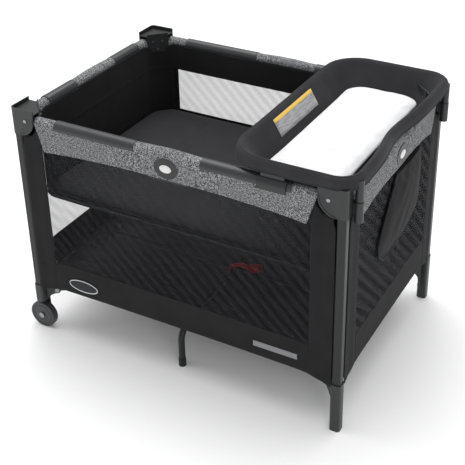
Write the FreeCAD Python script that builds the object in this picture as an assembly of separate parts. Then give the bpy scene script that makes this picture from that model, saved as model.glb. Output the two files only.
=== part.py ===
import FreeCAD, Part
import math
import os

# Travel play yard with a clip-on bassinet, its mattress pad and a lift-off changing station.
# Millimetres, +Z up. The origin is on the floor under the middle of the frame.
# X runs along the long sides, Y along the short ones. The changing station is at the +X end.
# The four corners are alike: a piece is made for the corner at +X +Y and mirrored to the others.

V = FreeCAD.Vector

# ---- overall frame ----
frame_length = 1003.0        # outside of the corner mouldings, along X
frame_width = 700.0          # outside of the corner mouldings, along Y
corner_top = 740.0           # top rim of the corner mouldings

# ---- posts ----
post_inset = 16.0            # post axis from the outer faces
post_side = 25.0
post_wall = 1.5
post_round = 6.0

# ---- corner mouldings ----
corner_reach = 78.0          # along each side
corner_height = 80.0
corner_skin = 3.0
corner_outer_round = 12.0
shield_flat = 30.0           # straight part of the lower edge
shield_side = 24.0           # straight part of the free edge
lip_wide = 3.5               # raised border along the curved edge
lip_proud = 1.2
deck_drop = 10.0             # top deck below the rim
panel_height = 62.0          # inner panel

# ---- top rails and their latches ----
rail_drop = 34.0             # rail axis below the corner top
rail_radius = 10.0
rail_wall = 1.2
rail_pivot_inset = 33.0      # corner pivot from the post axis
latch_half_span = 42.0       # latch pivots from the middle of a side
rail_pin_radius = 3.0
pin_fit = 0.05               # radial clearance of a pin in its bore
open_pivot_fit = 0.3         # radial clearance of the pivot where each loop is opened
lug_proud = 0.6              # the end fittings stand this much proud of their tubes
lug_corner = 1.6             # a rail lug's corners are rounded to its radius plus this
lug_gap = 0.4                # between a lug and the cheeks beside it
cheek = 2.5
latch_length = 112.0
latch_depth = 70.0           # below the arch centre line of the rail wrap
latch_block = 56.0           # solid middle between the two rail ends
arch_drop = 1.5              # centre of the rounded tops, below the rail axis

# ---- latch button ----
bezel_width = 72.0
bezel_height = 56.0
bezel_proud = 7.0
button_width = 35.0
button_height = 22.0
button_drop = 30.0           # button centre below the rail axis
button_travel = 4.0
button_proud = 2.0
button_gap = 0.4
button_deep = 7.0

# ---- rail covers, walls and floor ----
cover_gap = 0.5
cover_skin = 1.5
cover_lower = 72.0           # lower edge of the outer band, below the rail axis
cover_inner = 16.0           # lower edge of the inner band, below the rail axis
cover_end_gap = 1.5
wall_skin = 2.0
mesh_skin = 1.0
wall_bottom = 147.0
wall_post_gap = 5.0
wall_side_border = 66.0
wall_bottom_border = 86.0
floor_skin = 5.0
floor_gap = 10.0

# ---- base: hub, tubes, legs ----
base_height = 125.0          # axis of the base tubes
base_radius = 9.5
base_wall = 1.2
hub_room = 18.5              # from the side of a centre leg to the hub pivots
hub_plate_radius = 66.0
hub_plate = 3.5
ear = 3.0
ear_round = 11.0
base_pin_radius = 4.0
rivet_head = 6.5
rivet_head_high = 2.0
leg_side = 14.0              # each leg is this far off the middle plane
leg_pivot = 24.0
leg_inset = 47.0             # where a leg comes down, inside the side of the frame
leg_bend = 40.0
leg_cap_radius = 11.0
leg_cap_high = 24.0
leg_collar_radius = 13.0
leg_collar_long = 24.0

# ---- feet and wheels ----
foot_side = 30.0
foot_top = 155.0
foot_floor = 6.0             # solid sole under the post
wheel_foot_bottom = 96.0
gusset_foot = 38.0           # lower end of the curved web of a foot
gusset_reach = 4.0           # how far a gusset runs into its foot
wheel_radius = 43.0
wheel_wide = 22.0
wheel_web = 10.0
wheel_rim = 9.0
groove_deep = 1.2            # ring pressed into the outer face
groove_wide = 2.5
axle_radius = 5.0
axle_gap = 2.0               # wheel to the bracket beside it
bracket = 5.0
bracket_wide = 28.0

# ---- bassinet ----
clip_gap = 0.5
clip_skin = 2.5
clip_leg = 4.0               # below the arch centre
long_clip_start = 100.0      # from the middle of a side
short_clip_start = 95.0
long_clip_stop = 146.5       # short of the corner's outer face
short_clip_stop = 128.0
bassinet_drop = 6.0          # top edge below the rail axis
bassinet_deep = 240.0
bassinet_skin = 3.0
bassinet_chamfer = 52.0
mattress_gap = 6.0
mattress_thick = 22.0

# ---- changing station ----
rim_wide = 332.0             # along X, between the centre lines of the rim tube
rim_over = 6.5               # centre line beyond the end of the frame
rim_inset = 12.0             # centre line inside the sides of the frame
rim_rise = 15.0              # centre line above the corner tops
rim_radius = 12.5
rim_round_left = 95.0
rim_round_right = 60.0
well_depth = 69.0            # below the rim's centre line
well_skin = 3.0
well_lean = 38.0             # how far the walls lean in
well_shoulder = 20.0         # how far they lean in above the corner mouldings
well_round_shoulder = 75.0
well_round_bottom = 48.0
pad_gap = 5.0
pad_thick = 16.0
pin_over = 12.5              # pin axis beyond the end of the frame
pin_inset = 42.0             # pin axis inside the sides of the frame
pin_radius = 8.0
pin_reach = 95.0             # lower end below the corner tops
socket_drop = 43.0           # top of a socket below the corner tops
socket_fit = 0.4
socket_skin = 3.1
collar_radius = 10.4
saddle_start = 86.0          # from the rim's left centre line
saddle_long = 80.0
saddle_gap = 0.5
saddle_skin = 3.5
saddle_leg = 12.0            # outer leg, below the arch centre

# ---- organiser and strap ----
organiser_drop = 108.0       # top edge below the corner tops
organiser_high = 234.0
organiser_deep = 22.0
organiser_middle = 8.0       # along Y
organiser_hem = 0.93         # the pocket's outline as a share of the pouch's
pocket_deep = 14.0
pocket_floor = 6.0
strap_wide = 24.0
strap_thick = 2.0
strap_reach = 84.0

# ---- derived places ----
half_x = frame_length / 2
half_y = frame_width / 2
post_x = half_x - post_inset
post_y = half_y - post_inset
rail_z = corner_top - rail_drop
arch_z = rail_z - arch_drop
rail_pivot_x = post_x - rail_pivot_inset
rail_pivot_y = post_y - rail_pivot_inset
rail_run_x = rail_pivot_x - latch_half_span
rail_run_y = rail_pivot_y - latch_half_span
# hub pivots from the middle, along X and along Y
hub_pivot = leg_side + base_radius + hub_room
# the base tubes reach as far along X and Y as the half rails do, so both fold through one angle
foot_pivot = rail_pivot_inset + latch_half_span - hub_pivot
foot_pivot_x = post_x - foot_pivot
foot_pivot_y = post_y - foot_pivot
tube_angle = math.atan2(rail_run_y, rail_run_x)
along = V(math.cos(tube_angle), math.sin(tube_angle), 0)
across = V(-math.sin(tube_angle), math.cos(tube_angle), 0)
rail_lug = rail_radius + lug_proud
latch_half_thick = rail_lug + lug_gap + cheek
cover_in = latch_half_thick + cover_gap
cover_out = cover_in + cover_skin
# inner panel from the outer face, where a rail leaves the moulding
panel_side_gap = post_inset + cover_in
clip_in = cover_out + clip_gap
clip_out = clip_in + clip_skin
saddle_in = clip_out + saddle_gap
saddle_out = saddle_in + saddle_skin
base_lug = base_radius + lug_proud
ear_in = base_lug + lug_gap
ear_out = ear_in + ear
hub_top = base_height + base_radius + 1.0 + hub_plate
floor_low = hub_top + floor_gap
button_z = rail_z - button_drop
leg_stand = half_y - leg_inset
long_clip = (long_clip_start, half_x - long_clip_stop)
short_clip = (short_clip_start, half_y - short_clip_stop)
bassinet_top = rail_z - bassinet_drop
bassinet_bottom = bassinet_top - bassinet_deep
rim_right = half_x + rim_over
rim_left = rim_right - rim_wide
rim_half = half_y - rim_inset
rim_height = corner_top + rim_rise
well_bottom = rim_height - well_depth
pin_x = half_x + pin_over
pin_y = half_y - pin_inset
pin_bottom = corner_top - pin_reach
socket_top = corner_top - socket_drop
saddle = (rim_left + saddle_start, rim_left + saddle_start + saddle_long)
organiser_top = corner_top - organiser_drop
organiser_bottom = organiser_top - organiser_high
wall_top = arch_z - latch_depth - 2.0

CORNERS = {"front_right": (1, -1), "front_left": (-1, -1), "back_right": (1, 1), "back_left": (-1, 1)}
X_SIDES = {"front": -1, "back": 1}
Y_SIDES = {"right": 1, "left": -1}


def box(x0, x1, y0, y1, z0, z1):
    return Part.makeBox(x1 - x0, y1 - y0, z1 - z0, V(x0, y0, z0))


def rod(start, direction, length, radius):
    return Part.makeCylinder(radius, length, start, direction)


def centred_rod(middle, direction, length, radius):
    unit = V(direction).normalize()
    return rod(middle - unit * (length / 2), unit, length, radius)


def prism(points, direction):
    """A closed outline of straight edges, pushed along a direction."""
    wire = Part.makePolygon(points + [points[0]])
    return Part.Face(wire).extrude(direction)


def rounded_prism(x0, x1, y0, y1, z0, z1, radius):
    body = box(x0, x1, y0, y1, z0, z1)
    uprights = [e for e in body.Edges if abs(e.tangentAt(e.FirstParameter).z) > 0.99]
    return body.makeFillet(radius, uprights)


def fuse(shapes):
    body = shapes[0].multiFuse(shapes[1:]) if len(shapes) > 1 else shapes[0]
    return body.removeSplitter()


def mirrored(shape, sx, sy):
    if sx < 0:
        shape = shape.mirror(V(0, 0, 0), V(1, 0, 0))
    if sy < 0:
        shape = shape.mirror(V(0, 0, 0), V(0, 1, 0))
    return shape


def quarter_turned(shape):
    """A piece of the +Y side, as the like piece of the +X side (X and Y change places)."""
    return shape.mirror(V(0, 0, 0), V(1, -1, 0).normalize())


def save(name, shape):
    solids = shape.Solids
    kept = solids[0] if len(solids) == 1 else Part.makeCompound(solids)
    kept.exportStep("parts/" + name + ".step")
    volume = sum(s.Volume for s in solids)
    ok = all(s.isValid() for s in solids)
    print(f"{name}: {len(solids)} solids, {volume / 1000:.1f} cm3, valid {ok}")


# ---------------------------------------------------------------- corner posts

def make_post():
    half = post_side / 2
    bottom = foot_floor
    top = corner_top - deck_drop - corner_skin
    outer = rounded_prism(post_x - half, post_x + half, post_y - half, post_y + half,
                          bottom, top, post_round)
    inner_half = half - post_wall
    inner = rounded_prism(post_x - inner_half, post_x + inner_half, post_y - inner_half,
                          post_y + inner_half, bottom - 1, top + 1, post_round - post_wall)
    return outer.cut(inner)


def make_short_post():
    """The posts over the wheels end inside the wheel brackets."""
    room = box(0, half_x, 0, half_y, 0, wheel_foot_bottom + foot_floor)
    return make_post().cut(room)


def shield_cutter():
    """What is taken off the outer wall facing +Y, to give it its rounded lower corner."""
    low = corner_top - corner_height
    x0 = half_x - corner_reach
    x1 = half_x - shield_flat
    z1 = corner_top - shield_side
    start = V(x1, half_y - corner_skin - 1, low)
    end = V(x0, half_y - corner_skin - 1, z1)
    bulge = math.sqrt(0.5)
    middle = V(x1 - (x1 - x0) * bulge, start.y, z1 - (z1 - low) * bulge)
    arc = Part.Arc(start, middle, end).toShape()
    lines = [V(x0, start.y, z1), V(x0 - 1, start.y, z1), V(x0 - 1, start.y, low - 1),
             V(x1, start.y, low - 1), V(x1, start.y, low)]
    wire = Part.Wire([arc] + Part.makePolygon(lines).Edges)
    return Part.Face(wire).extrude(V(0, corner_skin + 2 + lip_proud, 0))


def make_corner(with_socket):
    low = corner_top - corner_height
    x0 = half_x - corner_reach
    y0 = half_y - corner_reach
    outer = box(x0, half_x, y0, half_y, low, corner_top)
    edge = [e for e in outer.Edges
            if abs(e.CenterOfMass.x - half_x) < 0.01 and abs(e.CenterOfMass.y - half_y) < 0.01]
    outer = outer.makeFillet(corner_outer_round, edge)
    inner = box(x0 - 1, half_x - corner_skin, y0 - 1, half_y - corner_skin, low - 1, corner_top + 1)
    edge = [e for e in inner.Edges
            if abs(e.CenterOfMass.x - half_x + corner_skin) < 0.01
            and abs(e.CenterOfMass.y - half_y + corner_skin) < 0.01]
    inner = inner.makeFillet(corner_outer_round - corner_skin, edge)
    cutter = shield_cutter()
    walls = outer.cut(inner).cut(cutter).cut(quarter_turned_corner(cutter))

    deck_top = corner_top - deck_drop
    skin_in = corner_skin / 2
    deck = prism([V(x0, half_y - skin_in, 0), V(half_x - corner_outer_round, half_y - skin_in, 0),
                  V(half_x - skin_in, half_y - corner_outer_round, 0), V(half_x - skin_in, y0, 0),
                  V(half_x - panel_side_gap, y0, 0), V(x0, half_y - panel_side_gap, 0)],
                 V(0, 0, corner_skin))
    deck.translate(V(0, 0, deck_top - corner_skin))

    a = V(x0, half_y - panel_side_gap, 0)
    b = V(half_x - panel_side_gap, y0, 0)
    inward = V(-1, -1, 0).normalize() * corner_skin
    panel = prism([a, b, b + inward, a + inward], V(0, 0, panel_height))
    panel.translate(V(0, 0, deck_top - panel_height + deck_drop - corner_skin))

    sleeve_half = foot_side / 2
    sleeve = box(post_x - sleeve_half, half_x - skin_in, post_y - sleeve_half, half_y - skin_in,
                 low + 6, deck_top - corner_skin)
    edge = [e for e in sleeve.Edges
            if abs(e.CenterOfMass.x - half_x + skin_in) < 0.01
            and abs(e.CenterOfMass.y - half_y + skin_in) < 0.01]
    sleeve = sleeve.makeFillet(corner_outer_round - skin_in, edge)
    half = post_side / 2
    bore = rounded_prism(post_x - half, post_x + half, post_y - half, post_y + half,
                         low, deck_top - corner_skin, post_round)

    cheek_in = post_y - rail_lug - lug_gap
    cheek_x = box(rail_pivot_x - 8, post_x - sleeve_half + 1, cheek_in - cheek, cheek_in,
                  rail_z - 9, deck_top - corner_skin)
    shifted = cutter.copy()
    shifted.translate(V(lip_wide, 0, lip_wide))
    lip = box(x0, half_x - corner_outer_round, half_y - 1, half_y + lip_proud, low, corner_top)
    lip = lip.common(shifted).cut(cutter)
    pieces = [walls, deck, panel, sleeve, cheek_x, quarter_turned_corner(cheek_x), lip,
              quarter_turned_corner(lip)]
    if with_socket:
        boss = rod(V(pin_x, pin_y, pin_bottom - 4), V(0, 0, 1), socket_top - pin_bottom + 4,
                   pin_radius + socket_fit + socket_skin)
        web = box(half_x - skin_in, pin_x, pin_y - 9, pin_y + 9, low + 4, socket_top - 2)
        pieces += [boss, web]
    body = fuse(pieces)
    tools = [bore]
    pin = centred_rod(V(rail_pivot_x, post_y, rail_z), V(0, 1, 0), 80, rail_pin_radius)
    tools += [pin, quarter_turned_corner(pin)]
    if with_socket:
        tools.append(rod(V(pin_x, pin_y, pin_bottom - 1), V(0, 0, 1), corner_height + 20,
                         pin_radius + socket_fit))
    for tool in tools:
        body = body.cut(tool)
    return body


def quarter_turned_corner(shape):
    """The same piece on the other face of the corner, mirrored in the corner's diagonal plane."""
    moved = shape.copy()
    moved.translate(V(-half_x, -half_y, 0))
    moved = quarter_turned(moved)
    moved.translate(V(half_x, half_y, 0))
    return moved


def base_ears(t0, t1, middle, low):
    """Two ear plates with their gussets and the web behind them, beside a base tube's lug at middle."""
    drop = base_height - low
    near = foot_pivot * math.sqrt(2) - foot_side / 2 - gusset_reach
    plates = [bar(middle, t0, t1, 2 * ear_out)]
    curve = Part.Arc(V(-2, 0, -ear_round), V(near * 0.62, 0, -ear_round - 0.28 * (drop - ear_round)),
                     V(near, 0, -drop)).toShape()
    rest = Part.makePolygon([V(near, 0, -drop), V(t1, 0, -drop), V(t1, 0, ear_round),
                             V(0, 0, ear_round), V(-2, 0, -ear_round)])
    outline = Part.Face(Part.Wire([curve] + rest.Edges))
    for offset in (-ear_out, ear_in):
        plate = outline.extrude(V(0, ear, 0))
        plate.translate(V(0, offset, 0))
        plates.append(turned(plate, middle))
        plates.append(rod(middle + across * offset, across, ear, ear_round))
    return plates


def turned(shape, middle):
    """A shape made along X about the origin, turned along a base tube and moved to middle."""
    shape.rotate(V(0, 0, 0), V(0, 0, 1), math.degrees(tube_angle))
    shape.translate(middle)
    return shape


def bar(middle, t0, t1, wide):
    """A bar from t0 to t1 along the tube direction."""
    return turned(Part.makeBox(t1 - t0, wide, 2 * ear_round, V(t0, -wide / 2, -ear_round)), middle)


def make_foot():
    half = foot_side / 2
    sleeve = rounded_prism(post_x - half, post_x + half, post_y - half, post_y + half,
                           0, foot_top, post_round + 2)
    middle = V(foot_pivot_x, foot_pivot_y, base_height)
    body = fuse([sleeve] + base_ears(base_radius + 2.5, 30, middle, gusset_foot))
    return cut_foot(body, foot_floor)


def cut_foot(body, sole):
    half = post_side / 2
    bore = rounded_prism(post_x - half, post_x + half, post_y - half, post_y + half,
                         sole, foot_top + 1, post_round)
    pin = centred_rod(V(foot_pivot_x, foot_pivot_y, base_height), across, 60, base_pin_radius)
    return body.cut(bore).cut(pin)


def make_wheel_foot():
    half = foot_side / 2
    block = rounded_prism(post_x - half, post_x + half, post_y - half, post_y + half,
                          wheel_foot_bottom, foot_top, post_round + 2)
    inner_face = post_y - wheel_wide / 2 - axle_gap
    side = box(post_x - bracket_wide / 2, post_x + bracket_wide / 2, inner_face - bracket,
               inner_face, wheel_radius, foot_top - 20)
    boss = rod(V(post_x, inner_face - bracket, wheel_radius), V(0, 1, 0), bracket,
               bracket_wide / 2)
    middle = V(foot_pivot_x, foot_pivot_y, base_height)
    body = fuse([block, side, boss] + base_ears(base_radius + 2.5, 30, middle, wheel_foot_bottom + 2))
    body = cut_foot(body, wheel_foot_bottom + foot_floor)
    axle = centred_rod(V(post_x, post_y, wheel_radius), V(0, 1, 0), 90, axle_radius)
    return body.cut(axle)


def make_pins(with_axle):
    """The rail pivot pins, the base tube pin, the rivets of the inner panel and, over a wheel, its axle."""
    face = half_y
    start = post_y - rail_lug - lug_gap - cheek
    shank = rod(V(rail_pivot_x, start, rail_z), V(0, 1, 0), face - start, rail_pin_radius)
    head = rod(V(rail_pivot_x, face, rail_z), V(0, 1, 0), 1.5, rail_pin_radius + 2)
    rail_pin = shank.fuse(head).removeSplitter()
    pins = [rail_pin, quarter_turned_corner(rail_pin)]
    middle = V(foot_pivot_x, foot_pivot_y, base_height)
    long_pin = centred_rod(middle, across, 2 * ear_out, base_pin_radius)
    heads = [rod(middle + across * (side * ear_out), across * side, rivet_head_high, rivet_head)
             for side in (-1, 1)]
    pins.append(long_pin.multiFuse(heads).removeSplitter())
    panel_middle = (corner_reach + panel_side_gap) / 2
    centre = V(half_x - panel_middle, half_y - panel_middle, 0)
    inward = V(-1, -1, 0).normalize()
    sideways = V(-1, 1, 0).normalize()
    face_point = centre + inward * corner_skin
    for shift, drop in ((-15, rail_drop - 6), (15, rail_drop - 6), (0, rail_drop + 20)):
        at = face_point + sideways * shift + V(0, 0, corner_top - drop)
        pins.append(rod(at, inward, 1.6, 3.5))
    if with_axle:
        inner = post_y - wheel_wide / 2 - axle_gap - bracket
        outer = post_y + wheel_wide / 2 + axle_gap
        shank = rod(V(post_x, inner, wheel_radius), V(0, 1, 0), outer - inner, axle_radius)
        cap = rod(V(post_x, outer, wheel_radius), V(0, 1, 0), rivet_head_high, axle_radius + 4)
        pins.append(shank.fuse(cap).removeSplitter())
    return Part.makeCompound(pins)


# ---------------------------------------------------------------- folding base

def make_base_tube():
    outer_end = V(foot_pivot_x, foot_pivot_y, base_height)
    inner_end = V(hub_pivot, hub_pivot, base_height)
    length = (outer_end - inner_end).Length
    body = rod(inner_end, along, length, base_radius)
    lugs = [centred_rod(p, across, 2 * base_lug, base_lug) for p in (inner_end, outer_end)]
    body = fuse([body] + lugs)
    solid_end = 14.0
    hollow = rod(inner_end + along * solid_end, along, length - 2 * solid_end,
                 base_radius - base_wall)
    body = body.cut(hollow)
    for p in (inner_end, outer_end):
        body = body.cut(centred_rod(p, across, 60, base_pin_radius + pin_fit))
    return body


def make_hub():
    plate = rod(V(0, 0, hub_top - hub_plate), V(0, 0, 1), hub_plate, hub_plate_radius)
    middle = V(hub_pivot, hub_pivot, base_height)
    pieces = [plate]
    ears = []
    for side in (-1, 1):
        at = middle + across * (side * (ear_in + ear / 2))
        ears.append(centred_rod(at, across, ear, ear_round))
        rise = Part.makeBox(2 * ear_round, ear, hub_top - base_height, V(-ear_round, -ear / 2, 0))
        ears.append(turned(rise, at))
    for sx, sy in CORNERS.values():
        pieces += [mirrored(e, sx, sy) for e in ears]
    for sy in (-1, 1):
        for side in (-1, 1):
            at = V(sy * leg_side + side * (ear_in + ear / 2), sy * leg_pivot, base_height)
            pieces.append(centred_rod(at, V(1, 0, 0), ear, ear_round))
            pieces.append(box(at.x - ear / 2, at.x + ear / 2, at.y - ear_round,
                              at.y + ear_round, base_height, hub_top))
    body = fuse(pieces)
    for tool in hub_pin_shanks():
        body = body.cut(tool)
    return body


def hub_pin_shanks():
    middle = V(hub_pivot, hub_pivot, base_height)
    diagonal = centred_rod(middle, across, 2 * ear_out, base_pin_radius)
    shanks = [mirrored(diagonal, sx, sy) for sx, sy in CORNERS.values()]
    for sy in (-1, 1):
        at = V(sy * leg_side, sy * leg_pivot, base_height)
        shanks.append(centred_rod(at, V(1, 0, 0), 2 * ear_out, base_pin_radius))
    return shanks


def make_leg(sy):
    """A bent tube that hangs from the hub and stands under the middle of a long side."""
    x = sy * leg_side
    start = V(x, sy * leg_pivot, base_height)
    bend_start = V(x, sy * (leg_stand - leg_bend), base_height)
    bend_end = V(x, sy * leg_stand, base_height - leg_bend)
    share = math.sqrt(0.5) * leg_bend
    bend_mid = V(x, bend_start.y + sy * share, bend_end.z + share)
    end = V(x, sy * leg_stand, foot_floor)
    edges = [Part.makeLine(start, bend_start), Part.Arc(bend_start, bend_mid, bend_end).toShape(),
             Part.makeLine(bend_end, end)]
    path = Part.Wire(edges)
    ring = Part.Wire([Part.makeCircle(base_radius, start, V(0, 1, 0))])
    tube = path.makePipeShell([ring], True, False)
    lug = centred_rod(start, V(1, 0, 0), 2 * base_lug, base_lug)
    collar = rod(bend_start, V(0, -sy, 0), leg_collar_long, leg_collar_radius)
    bore = centred_rod(start, V(1, 0, 0), 60, base_pin_radius + pin_fit)
    body = tube.fuse(lug).removeSplitter().cut(bore)
    cap = rod(V(x, sy * leg_stand, 0), V(0, 0, 1), leg_cap_high, leg_cap_radius)
    return Part.makeCompound([body, cap.cut(body), collar.cut(body)])


def make_wheel(sy):
    """A moulded wheel: closed on its outer face, with a rim, thin web and hub on its inner side."""
    centre = V(-post_x, sy * post_y, wheel_radius)
    body = centred_rod(centre, V(0, 1, 0), wheel_wide, wheel_radius)
    rims = [e for e in body.Edges if e.Length > 2 * math.pi * wheel_radius * 0.9]
    body = body.makeFillet(3.5, rims)
    inward = V(0, -sy, 0)
    start = centre + inward * (wheel_web - wheel_wide / 2)
    ring = rod(start, inward, wheel_wide, wheel_radius - wheel_rim)
    body = body.cut(ring.cut(rod(start, inward, wheel_wide, axle_radius + 6)))
    face = centre - inward * (wheel_wide / 2 - groove_deep)
    groove = rod(face, V(0, sy, 0), groove_deep + 1, wheel_radius - wheel_rim)
    body = body.cut(groove.cut(rod(face, V(0, sy, 0), groove_deep + 1,
                                   wheel_radius - wheel_rim - groove_wide)))
    return body.cut(centred_rod(centre, V(0, 1, 0), 60, axle_radius + pin_fit))


# ---------------------------------------------------------------- top rails

def rail_tube(start, direction, run, pin_axis, free_end_fit):
    """A half rail from its corner pivot to its latch pivot, with a lug and a bore at each end."""
    end = start + direction * run
    ball = rail_lug + lug_corner
    lugs = [centred_rod(p, pin_axis, 2 * rail_lug, rail_lug).common(Part.makeSphere(ball, p))
            for p in (start, end)]
    body = fuse([rod(start, direction, run, rail_radius)] + lugs)
    solid_end = rail_radius + 4
    body = body.cut(rod(start + direction * solid_end, direction, run - 2 * solid_end,
                        rail_radius - rail_wall))
    body = body.cut(centred_rod(start, pin_axis, 3 * rail_lug, rail_pin_radius + pin_fit))
    return body.cut(centred_rod(end, pin_axis, 3 * rail_lug, rail_pin_radius + free_end_fit))


def make_half_rail(along_x, sx, sy, fit):
    if along_x:
        start = V(sx * rail_pivot_x, sy * post_y, rail_z)
        return rail_tube(start, V(-sx, 0, 0), rail_run_x, V(0, 1, 0), fit)
    start = V(sx * post_x, sy * rail_pivot_y, rail_z)
    return rail_tube(start, V(0, -sy, 0), rail_run_y, V(1, 0, 0), fit)


def arch(half_length, radius, leg):
    """A bar with a half-round top, along X at the +Y side, with straight legs below."""
    top = rod(V(-half_length, post_y, arch_z), V(1, 0, 0), 2 * half_length, radius)
    below = box(-half_length, half_length, post_y - radius, post_y + radius, arch_z - leg, arch_z)
    return fuse([top.cut(box(-half_length, half_length, post_y - radius - 1, post_y + radius + 1,
                             arch_z - radius - 1, arch_z)), below])


def oval(width, height, y0, y1):
    """An upright oval bar along +Y, at the button's height."""
    curve = Part.Ellipse(V(0, y0, button_z), width / 2, height / 2)
    wire = Part.Wire([curve.toShape()])
    flat = Part.Face(wire)
    flat.rotate(V(0, y0, button_z), V(1, 0, 0), 90)
    return flat.extrude(V(0, y1 - y0, 0))


def make_latch():
    """The latch of the +Y side: cheeks beside both rail ends, a middle block and the button's bezel."""
    body = arch(latch_length / 2, latch_half_thick, latch_depth)
    slot_in = rail_lug + lug_gap
    for side in (-1, 1):
        x0, x1 = sorted((side * latch_block / 2, side * (latch_length / 2 + 1)))
        body = body.cut(box(x0, x1, post_y - slot_in, post_y + slot_in, rail_z - rail_radius - 4,
                            rail_z + rail_radius + 8))
    outer = post_y + latch_half_thick
    bezel = oval(bezel_width, bezel_height, outer - 1, outer + bezel_proud)
    pins = [centred_rod(V(side * latch_half_span, post_y, rail_z), V(0, 1, 0),
                        2 * latch_half_thick - 1, rail_pin_radius) for side in (-1, 1)]
    body = fuse([body, bezel] + pins)
    deep = outer + bezel_proud - button_deep - button_travel - 2
    return body.cut(oval(button_width + 2 * button_gap, button_height + 2 * button_gap, deep,
                         outer + bezel_proud + 1))


def make_button():
    face = post_y + latch_half_thick + bezel_proud + button_proud
    body = oval(button_width, button_height, face - button_deep - button_proud, face)
    rim = [e for e in body.Edges if abs(e.CenterOfMass.y - face) < 0.01]
    return body.makeFillet(1.2, rim)


# ---------------------------------------------------------------- fabric of the frame

def make_cover(half_length, button_hole):
    """The sleeve over the rails of the +Y side: a deep outer band, an arched top and a short inner band."""
    outer = arch(half_length, cover_out, cover_lower)
    room = arch(half_length + 1, cover_in, cover_lower + 1)
    body = outer.cut(room)
    inner_low = rail_z - cover_inner
    body = body.cut(box(-half_length - 1, half_length + 1, post_y - cover_out - 1, post_y,
                        arch_z - cover_lower - 1, inner_low))
    if button_hole:
        body = body.cut(oval(bezel_width + 1, bezel_height + 1, post_y + cover_in - 1,
                             post_y + cover_out + 1))
    return body


def make_wall(half_length):
    """A wall of the +Y side: a bound border of solid cloth and the mesh pane inside it."""
    outer = post_y + cover_in - 1
    border = box(-half_length, half_length, outer - wall_skin, outer, wall_bottom, wall_top)
    x1 = half_length - wall_side_border
    z0 = wall_bottom + wall_bottom_border
    window = box(-x1, x1, outer - wall_skin - 1, outer + 1, z0, wall_top - 8)
    pane_y = outer - (wall_skin + mesh_skin) / 2
    pane = box(-x1, x1, pane_y, pane_y + mesh_skin, z0, wall_top - 8)
    return Part.makeCompound([border.cut(window), pane])


def make_floor():
    half_long = post_x - foot_side / 2 - wall_post_gap
    half_short = post_y - foot_side / 2 - wall_post_gap
    edge_x = post_x + cover_in - wall_skin - 2
    edge_y = edge_x - post_x + post_y
    plus = [box(-half_long, half_long, -edge_y, edge_y, floor_low, floor_low + floor_skin),
            box(-edge_x, edge_x, -half_short, half_short, floor_low, floor_low + floor_skin)]
    return fuse(plus)


def make_strap():
    """The webbing loop that lifts the hub: two layers lying on the floor panel."""
    low = floor_low + floor_skin + 0.5
    loop = box(0, strap_reach, -strap_wide / 2, strap_wide / 2, low, low + 2 * strap_thick + 2)
    gap = box(8, strap_reach - strap_thick, -strap_wide, strap_wide, low + strap_thick,
              low + strap_thick + 2)
    strap = loop.cut(gap)
    strap.rotate(V(0, 0, 0), V(0, 0, 1), 20)
    return strap


def make_organiser():
    """A flat hanging pouch on the outside of the +X wall, open at the top."""
    x0 = post_x + cover_out + 0.5
    top = organiser_top
    low = organiser_bottom
    outline = [(-34, top), (160, top), (186, low + 130), (120, low + 10), (-88, low), (-142, low + 72)]
    body = prism([V(x0, y, z) for y, z in outline], V(organiser_deep, 0, 0))
    skin = (organiser_deep - pocket_deep) / 2
    inset = [(organiser_middle + (y - organiser_middle) * organiser_hem,
              z + (pocket_floor if z < top else 1)) for y, z in outline]
    pocket = prism([V(x0 + skin, y, z) for y, z in inset], V(pocket_deep, 0, 0))
    return body.cut(pocket)


# ---------------------------------------------------------------- bassinet

def half_pipe_pieces(spans, half_in, half_out, leg):
    """Arched channels over the +Y rail, one for each span along X and its mirror image."""
    pieces = []
    for start, end in spans:
        half = (end - start) / 2
        outer = arch(half, half_out, leg)
        channel = outer.cut(arch(half + 1, half_in, leg + 1))
        for side in (-1, 1):
            piece = channel.copy()
            piece.translate(V(side * (start + end) / 2, 0, 0))
            pieces.append(piece)
    return pieces


def swap_side(shape):
    """A piece over the +Y rail, moved over the +X rail."""
    moved = shape.copy()
    moved.translate(V(0, -post_y, 0))
    moved = quarter_turned(moved)
    moved.translate(V(post_x, 0, 0))
    return moved


def make_clips():
    long_side = half_pipe_pieces([long_clip], clip_in, clip_out, clip_leg)
    short_side = [swap_side(p) for p in half_pipe_pieces([short_clip], clip_in, clip_out, clip_leg)]
    pieces = []
    for sy in (-1, 1):
        pieces += [mirrored(p, 1, sy) for p in long_side]
    for sx in (-1, 1):
        pieces += [mirrored(p, sx, 1) for p in short_side]
    return Part.makeCompound(pieces)


def chamfered_block(ex, ey, chamfer, z0, z1):
    corners = [(ex, ey - chamfer), (ex - chamfer, ey), (-ex + chamfer, ey), (-ex, ey - chamfer),
               (-ex, -ey + chamfer), (-ex + chamfer, -ey), (ex - chamfer, -ey), (ex, -ey + chamfer)]
    return prism([V(x, y, z0) for x, y in corners], V(0, 0, z1 - z0))


def make_bassinet():
    ex = post_x - clip_out
    ey = post_y - clip_out
    outer = chamfered_block(ex, ey, bassinet_chamfer, bassinet_bottom, bassinet_top)
    inner = chamfered_block(ex - bassinet_skin, ey - bassinet_skin, bassinet_chamfer,
                            bassinet_bottom + bassinet_skin, bassinet_top + 1)
    return outer.cut(inner)


def make_mattress():
    ex = post_x - clip_out - bassinet_skin - mattress_gap
    ey = post_y - clip_out - bassinet_skin - mattress_gap
    low = bassinet_bottom + bassinet_skin + 0.5
    return chamfered_block(ex, ey, bassinet_chamfer, low, low + mattress_thick)


# ---------------------------------------------------------------- changing station

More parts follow.
